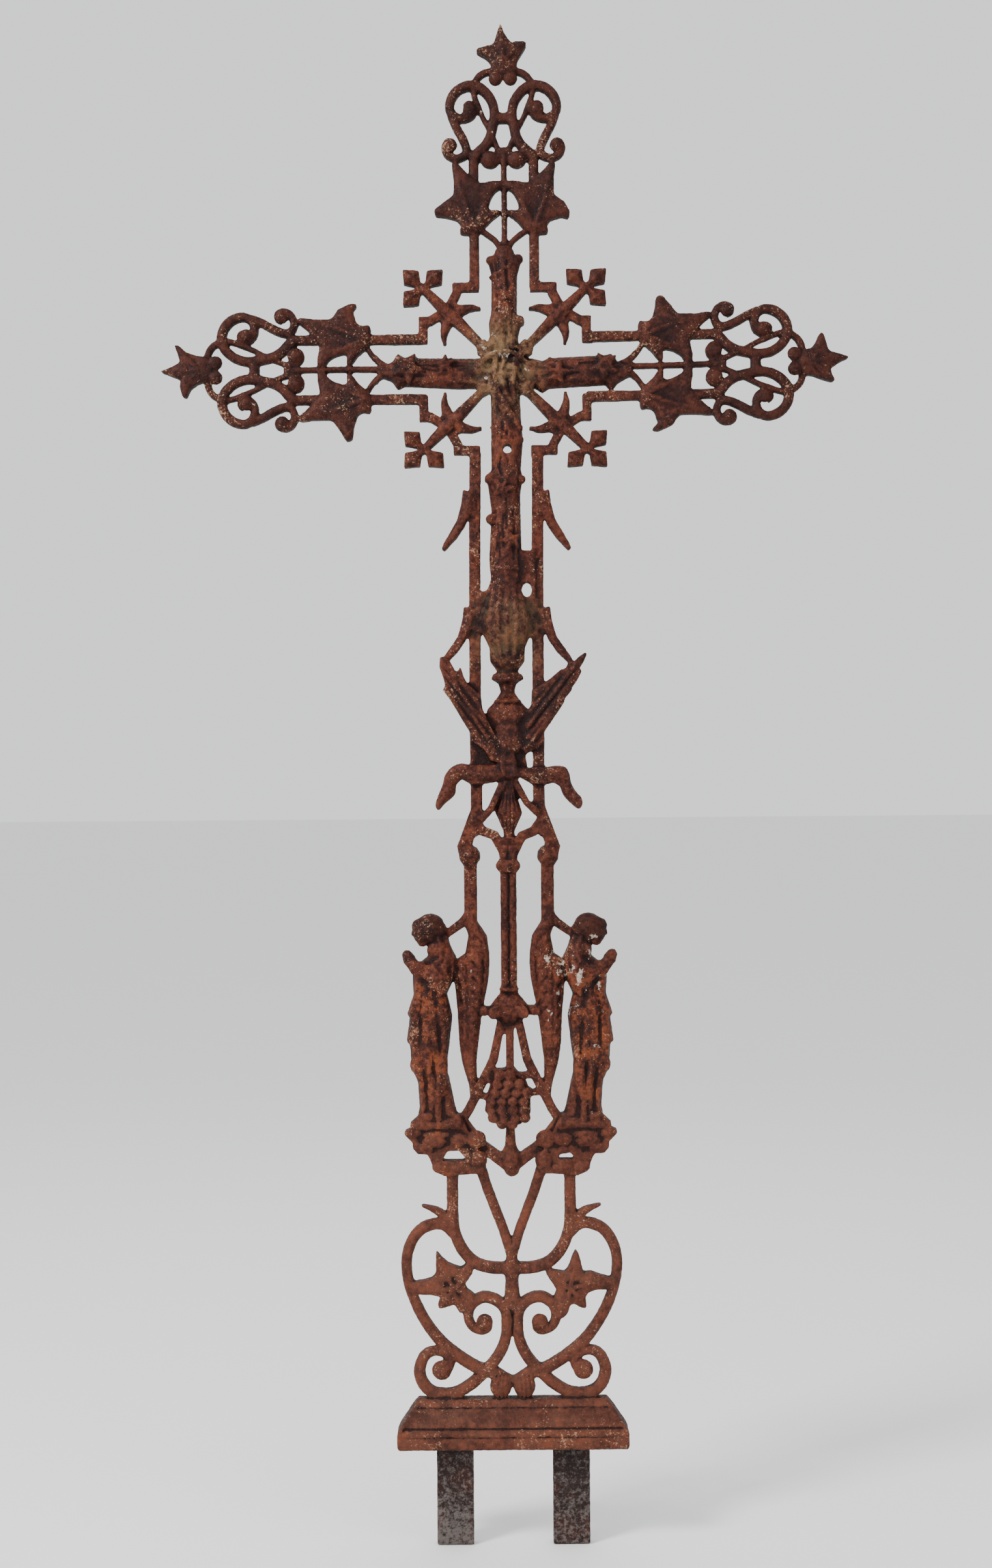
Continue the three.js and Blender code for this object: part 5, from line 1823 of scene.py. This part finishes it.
class RustCoat:
    """Lays the rust's colours over each other, from the metal outwards."""

    def __init__(self, finish: RustFinish) -> None:
        """Reads the place and the grain that all layers share.

        Args:
            finish: The colours and places.
        """
        self.finish = finish
        self.shader = s = Shader(Finish.RUST.value)
        self.x, _, self.z = s.axes(s.place)
        self.side = s.math("ABSOLUTE", self.x)
        self.blotch = s.noise(finish.blotch, 5, 0.65)
        self.speck = s.noise(finish.speck, 4, 0.7)
        self.grain = s.noise(finish.grain, 3, 0.7)
        self.low = self.z.step(*finish.lower)
        ends = self.side.step(*finish.outer) * self.z.step(*finish.beam)
        self.shade = s.math("MAXIMUM", ends, self.z.step(*finish.top))
        self.hollow = s.attribute(HOLLOW)
        self.crossing = finish.crossing.mask(self.side, self.z)

    def rust(self) -> Socket:
        """Returns old and fresher rust, which is brighter on the robes and low down.

        Returns:
            The colour.
        """
        f = self.finish
        mix = self.shader.mix
        clouds = self.shader.noise(f.cloud, 3)
        colour = mix((self.blotch + self.grain * 0.4 - 0.2).step(0.34, 0.62), f.old, f.brown)
        fresh = self.speck * 0.6 + clouds * 0.5 + self.low * 0.08 - self.shade * 0.12
        colour = mix(fresh.step(0.50, 0.72) * 0.85, colour, f.red)
        colour = mix(self.z.step(*f.dusty) * (0.14 + self.blotch.step(0.4, 0.6) * 0.2), colour, f.dust)
        robes = f.figures.mask(self.side, self.z)
        loose = self.blotch * 0.55 + self.speck * 0.5 + robes * 0.075 + self.low * 0.012 - self.shade * 0.2
        return mix(loose.step(0.58, 0.72) * 0.75, colour, f.orange)

    def shade_and_wear(self, colour: Socket) -> Socket:
        """Paints shade into the hollows and onto the faces turned aside or down, darkens the arms' ends and
        the hair, and lightens the edges, partly as scuffing and partly as painted highlight.

        Args:
            colour: The colour under it.

        Returns:
            The colour.
        """
        f = self.finish
        mix = self.shader.mix
        # Painted shade: the hollows are darkened towards the dark colour.
        colour = mix(self.hollow.step(0.53, 0.78) * 0.88, colour, f.dark)
        # Edges lightened partly as real scuffing and partly as painted highlight.
        edge_wear_and_highlight = self.hollow.step(0.44, 0.12) * (self.speck * 0.6 + self.blotch * 0.4).step(0.40, 0.60)
        colour = mix(edge_wear_and_highlight * (0.5 - self.shade * 0.16 + self.low * 0.14), colour, f.worn_and_highlight)
        colour = mix(self.shade * 0.28, colour, f.dark)
        # Painted shade on the faces turned aside or down.
        colour = mix(self.shader.attribute(PAINTED_SHADE).step(0.45, 0.92) * 0.75, colour, f.dark)
        return mix(f.hair.mask(self.side, self.z) * 0.6, colour, f.dark)

    def films(self, colour: Socket) -> Socket:
        """Lays the yellowish film, the pale flecks and the lichen.

        Args:
            colour: The colour under them.

        Returns:
            The colour.
        """
        f = self.finish
        s = self.shader
        places = s.math("MAXIMUM", self.crossing, f.bowl.mask(self.side, self.z) * 0.4)
        film = places * (self.blotch * 0.6 + self.speck * 0.4).step(0.40, 0.56)
        colour = s.mix(film * 0.68, colour, f.moss)
        fine, wide = (s.noise(f.fleck[0], 3, 0.75), s.noise(f.fleck[1], 3))
        flecks = (fine * 0.7 + wide * 0.42 - self.hollow * 0.06 + 0.03).step(0.685, 0.72)
        colour = s.mix(flecks * 0.65, colour, f.tan)
        chest = f.chest.mask(self.x, self.z) * self.x.step(*f.chest_end)
        lichen = (s.noise(f.lichen, 5, 0.7) + chest * 0.10 + self.crossing * 0.09).step(0.685, 0.73)
        return s.mix(lichen * 0.75, colour, f.pale)

    def tangs(self, colour: Socket) -> Socket:
        """Gives the tangs their scale and cement, which lies thickest on the left one.

        Args:
            colour: The colour above them.

        Returns:
            The colour.
        """
        f = self.finish
        mix = self.shader.mix
        below = self.z.step(*f.tangs)
        metal = mix(self.blotch.step(0.45, 0.65) * 0.5, f.scale, f.brown)
        colour = mix(below * 0.85, colour, metal)
        left = self.x.step(0.0, -0.02)
        crust = self.speck * 0.6 + self.grain * 0.4 + self.z.step(*f.crusted) * (0.04 + left * 0.07)
        return mix(below * crust.step(0.47, 0.66) * 0.62, colour, f.cement)

    def paint(self) -> bpy.types.Material:
        """Lays all the colours and gives the surface its pits and grain.

        Returns:
            The finished material.
        """
        f = self.finish
        s = self.shader
        pits = s.cells(f.pit).step(0.10, 0.62)
        low, high = f.roughness
        rough = high - (pits * 0.5 + self.speck * 0.5).step(0.35, 0.85) * (high - low)
        normal = s.bump(self.grain, 0.0006, 0.55)
        normal = s.bump(pits, 0.0005, 0.35, normal)
        normal = s.bump(self.speck, 0.0012, 0.45, normal)
        colour = self.tangs(self.films(self.shade_and_wear(self.rust())))
        return s.paint(Base_Color=colour, Roughness=rough, Normal=normal, Specular_IOR_Level=f.shine)


@dataclass(frozen=True)
class FloorFinish:
    """The plain pale floor.

    Attributes:
        colour: Its colour.
        roughness: Its roughness.
    """

    colour: Colour = Colour(0.84, 0.84, 0.83)
    roughness: float = 0.9

    def build(self) -> bpy.types.Material:
        """Builds the material."""
        return Shader(Finish.FLOOR.value).paint(Base_Color=self.colour.rgba(), Roughness=self.roughness)


@dataclass(frozen=True)
class Cross:
    """The whole cross.

    Attributes:
        casting: How its surface is made.
        finish: Its rust.
        arms: The three short arms.
        corner: The corner frets.
        trunk: The trunk and beam.
        vessel: The vase, urn and ribbon.
        grapes: The bunch of grapes.
        angel: The left angel, which is mirrored for the right one.
        rock: The left console, mirrored too.
        low_work: The scrolls and leaves above the foot.
        column: The twin column.
        kept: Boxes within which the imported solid's own surface is used.
    """

    casting: Casting = Casting()
    finish: RustFinish = RustFinish()
    arms: tuple[Arm, ...] = (
        Arm(0, ((56.6, 134), (59.6, 136)), -1.8, ((19.4, 278), (-21.7, 272.5))),
        Arm(89, ((56.8, 130), (59, 136)), -2.0, ((17.5, 281), (-22.5, 272))),
        Arm(-90, ((56.4, 131.5), (61.3, 136.5)), -0.8, ((21.2, 281.5), (-22.5, 275))),
    )
    corner: Corner = Corner()
    trunk: Trunk = Trunk()
    vessel: Vessel = Vessel()
    grapes: Grapes = Grapes()
    angel: Angel = Angel()
    rock: Rock = Rock()
    low_work: LowWork = LowWork()
    column: Column = Column()
    kept: tuple[tuple[Point3, Point3], ...] = (
        ((-102, -40, 229), (102, 20, 1024.5)),
        ((-110, -40, 905), (110, 20, 940)),
        ((-110, -40, -95), (110, 20, 40)),
    )

    def reliefs(self) -> list[Relief]:
        """Returns what every sub-assembly adds.

        Returns:
            The reliefs.
        """
        found = [arm.relief() for arm in self.arms] + self.corner.reliefs()
        found += [part.relief() for part in (self.trunk, self.vessel, self.column, self.low_work)]
        for part in (self.angel, self.rock):
            found += [part.relief(), part.relief().mirrored()]
        return found

    def build(self, node: bpy.types.Object, box: Sequence) -> bpy.types.Object:
        """Builds the casting's surface in place of the CAD node.

        Args:
            node: The CAD node's object.
            box: The node's low and high corners in metres.

        Returns:
            The finished piece.
        """
        material = self.finish.build()
        reliefs = self.reliefs()
        mould = Mould(material, self.kept)
        mould.add_node(node)
        mould.add_lumps([lump for relief in reliefs for lump in relief.lumps])
        mould.add_cords([cord for relief in reliefs for cord in relief.cords])
        mould.add_bars([bar for relief in reliefs for bar in relief.bars])
        mould.add_plates([plate for relief in reliefs for plate in relief.plates])
        mould.add_grapes(self.grapes)
        fused = mould.fuse(self.casting)
        LOG.info("fused surface: %d faces", len(fused.polygons))
        chaser = Chaser(fused)
        for relief in reliefs:
            for plate in relief.plates:
                chaser.pillow(plate)
            for line in relief.ridges:
                chaser.draw(line)
        chaser.finish()
        return self.weather(fused, material, box)

    def weather(
        self, mesh: bpy.types.Mesh, material: bpy.types.Material, box: Sequence
    ) -> bpy.types.Object:
        """Gives the surface its unevenness and pits, and thins it out.

        Args:
            mesh: The fused surface.
            material: Its material.
            box: The node's low and high corners.

        Returns:
            The finished piece.
        """
        rough = put_object("rough", mesh)
        for name, size, depth in (("waves", self.casting.wave_size, self.casting.waviness),
                                  ("pits", self.casting.pit_size, self.casting.pitting)):
            texture = bpy.data.textures.new(name, "CLOUDS")
            texture.noise_scale = size
            texture.noise_depth = 2
            push = rough.modifiers.new(name, "DISPLACE")
            push.texture = texture
            push.texture_coords = "LOCAL"
            push.strength = depth
            push.mid_level = 0.5
        thin = rough.modifiers.new("thin", "DECIMATE")
        thin.ratio = min(1.0, self.casting.triangles / (2 * len(mesh.polygons)))
        surface = solid_mesh(rough, "cross_surface")
        drop(rough)
        surface.materials.clear()
        surface.materials.append(material)
        surface.polygons.foreach_set("use_smooth", [True] * len(surface.polygons))
        hold_within(surface, box)
        mark_shape(surface)
        piece = put_object("cross_surface", surface)
        LOG.info("finished surface: %d faces", len(surface.polygons))
        return piece


@dataclass(frozen=True)
class Studio:
    """The floor, light and camera, in metres.

    Attributes:
        floor_height: Height of the floor, just under the tangs.
        floor_size: Half the floor's width.
        distance: Distance of the camera from the front of the cross.
        eye: Height of the camera.
        aside: How far the camera stands to the side.
        roll: The camera's roll in radians.
        lens: Focal length in millimetres.
        sensor: Width of the sensor in millimetres.
        front: Where the front of the cross is.
        world: Strength of the pale surroundings.
        sky: Their colour.
        lights: Each light's place, aim, width and power.
    """

    floor_height: float = -0.0856
    floor_size: float = 40.0
    distance: float = 1.9
    eye: float = 0.566
    aside: float = -0.0105
    roll: float = 0.0076
    lens: float = 50.9
    sensor: float = 36.0
    front: float = -0.005
    world: float = 1.25
    sky: Colour = Colour(0.93, 0.94, 0.95)
    lights: tuple[tuple[Point3, Point3, float, float], ...] = (
        ((-1.5, -1.3, 1.9), (0, 0, 0.6), 0.6, 72.0),
        ((1.5, -1.6, 1.1), (0, 0, 0.5), 1.2, 9.0),
        ((0.2, 1.6, 1.9), (0, 0, 0.7), 1.2, 8.0),
    )

    def build(self) -> None:
        """Makes the floor, lights, surroundings and camera."""
        self.add_floor()
        for place, aim, width, power in self.lights:
            self.add_light(place, aim, width, power)
        world = bpy.data.worlds.new("surroundings")
        world.use_nodes = True
        back = world.node_tree.nodes["Background"]
        back.inputs["Color"].default_value = self.sky.rgba()
        back.inputs["Strength"].default_value = self.world
        bpy.context.scene.world = world
        data = bpy.data.cameras.new("camera")
        data.lens = self.lens
        data.sensor_width = self.sensor
        camera = put_object("camera", data)
        camera.location = (self.aside, self.front - self.distance, self.eye)
        camera.rotation_euler = (math.pi / 2, self.roll, 0)
        bpy.context.scene.camera = camera

    def add_floor(self) -> None:
        """Makes the floor."""
        shape = bmesh.new()
        bmesh.ops.create_grid(shape, x_segments=1, y_segments=1, size=self.floor_size)
        mesh = shaped_mesh(shape, "floor")
        mesh.materials.append(FloorFinish().build())
        floor = put_object("floor", mesh)
        floor.location.z = self.floor_height
        floor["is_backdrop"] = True

    @staticmethod
    def add_light(place: Point3, aim: Point3, width: float, power: float) -> None:
        """Makes a soft square light.

        Args:
            place: Where it is.
            aim: What it points at.
            width: Its width.
            power: Its power in watts.
        """
        data = bpy.data.lights.new("softbox", "AREA")
        data.size = width
        data.energy = power
        lamp = put_object("softbox", data)
        lamp.location = place
        lamp.rotation_euler = (Vector(aim) - Vector(place)).to_track_quat("-Z", "Y").to_euler()


def keep_sizes(before: Sequence, after: Sequence) -> None:
    """Collects the CAD box and the visual model's box in a dictionary, which nothing reads.

    Args:
        before: The CAD box's corners.
    """
    sizes = {name: [[float(v) for v in corner] for corner in box] for name, box in
             (("cad", before), ("visual", after))}


def main() -> None:
    """Builds the scene."""
    logging.basicConfig(level=logging.INFO, format="%(message)s")
    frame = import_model()
    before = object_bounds()
    Studio().build()
    casting = Casting()
    piece = Cross(casting=casting).build(frame["nodes"][NODE], before)
    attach(piece, "root")
    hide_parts(NODE)
    keep_sizes(before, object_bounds())


if __name__ == "__main__":
    main()
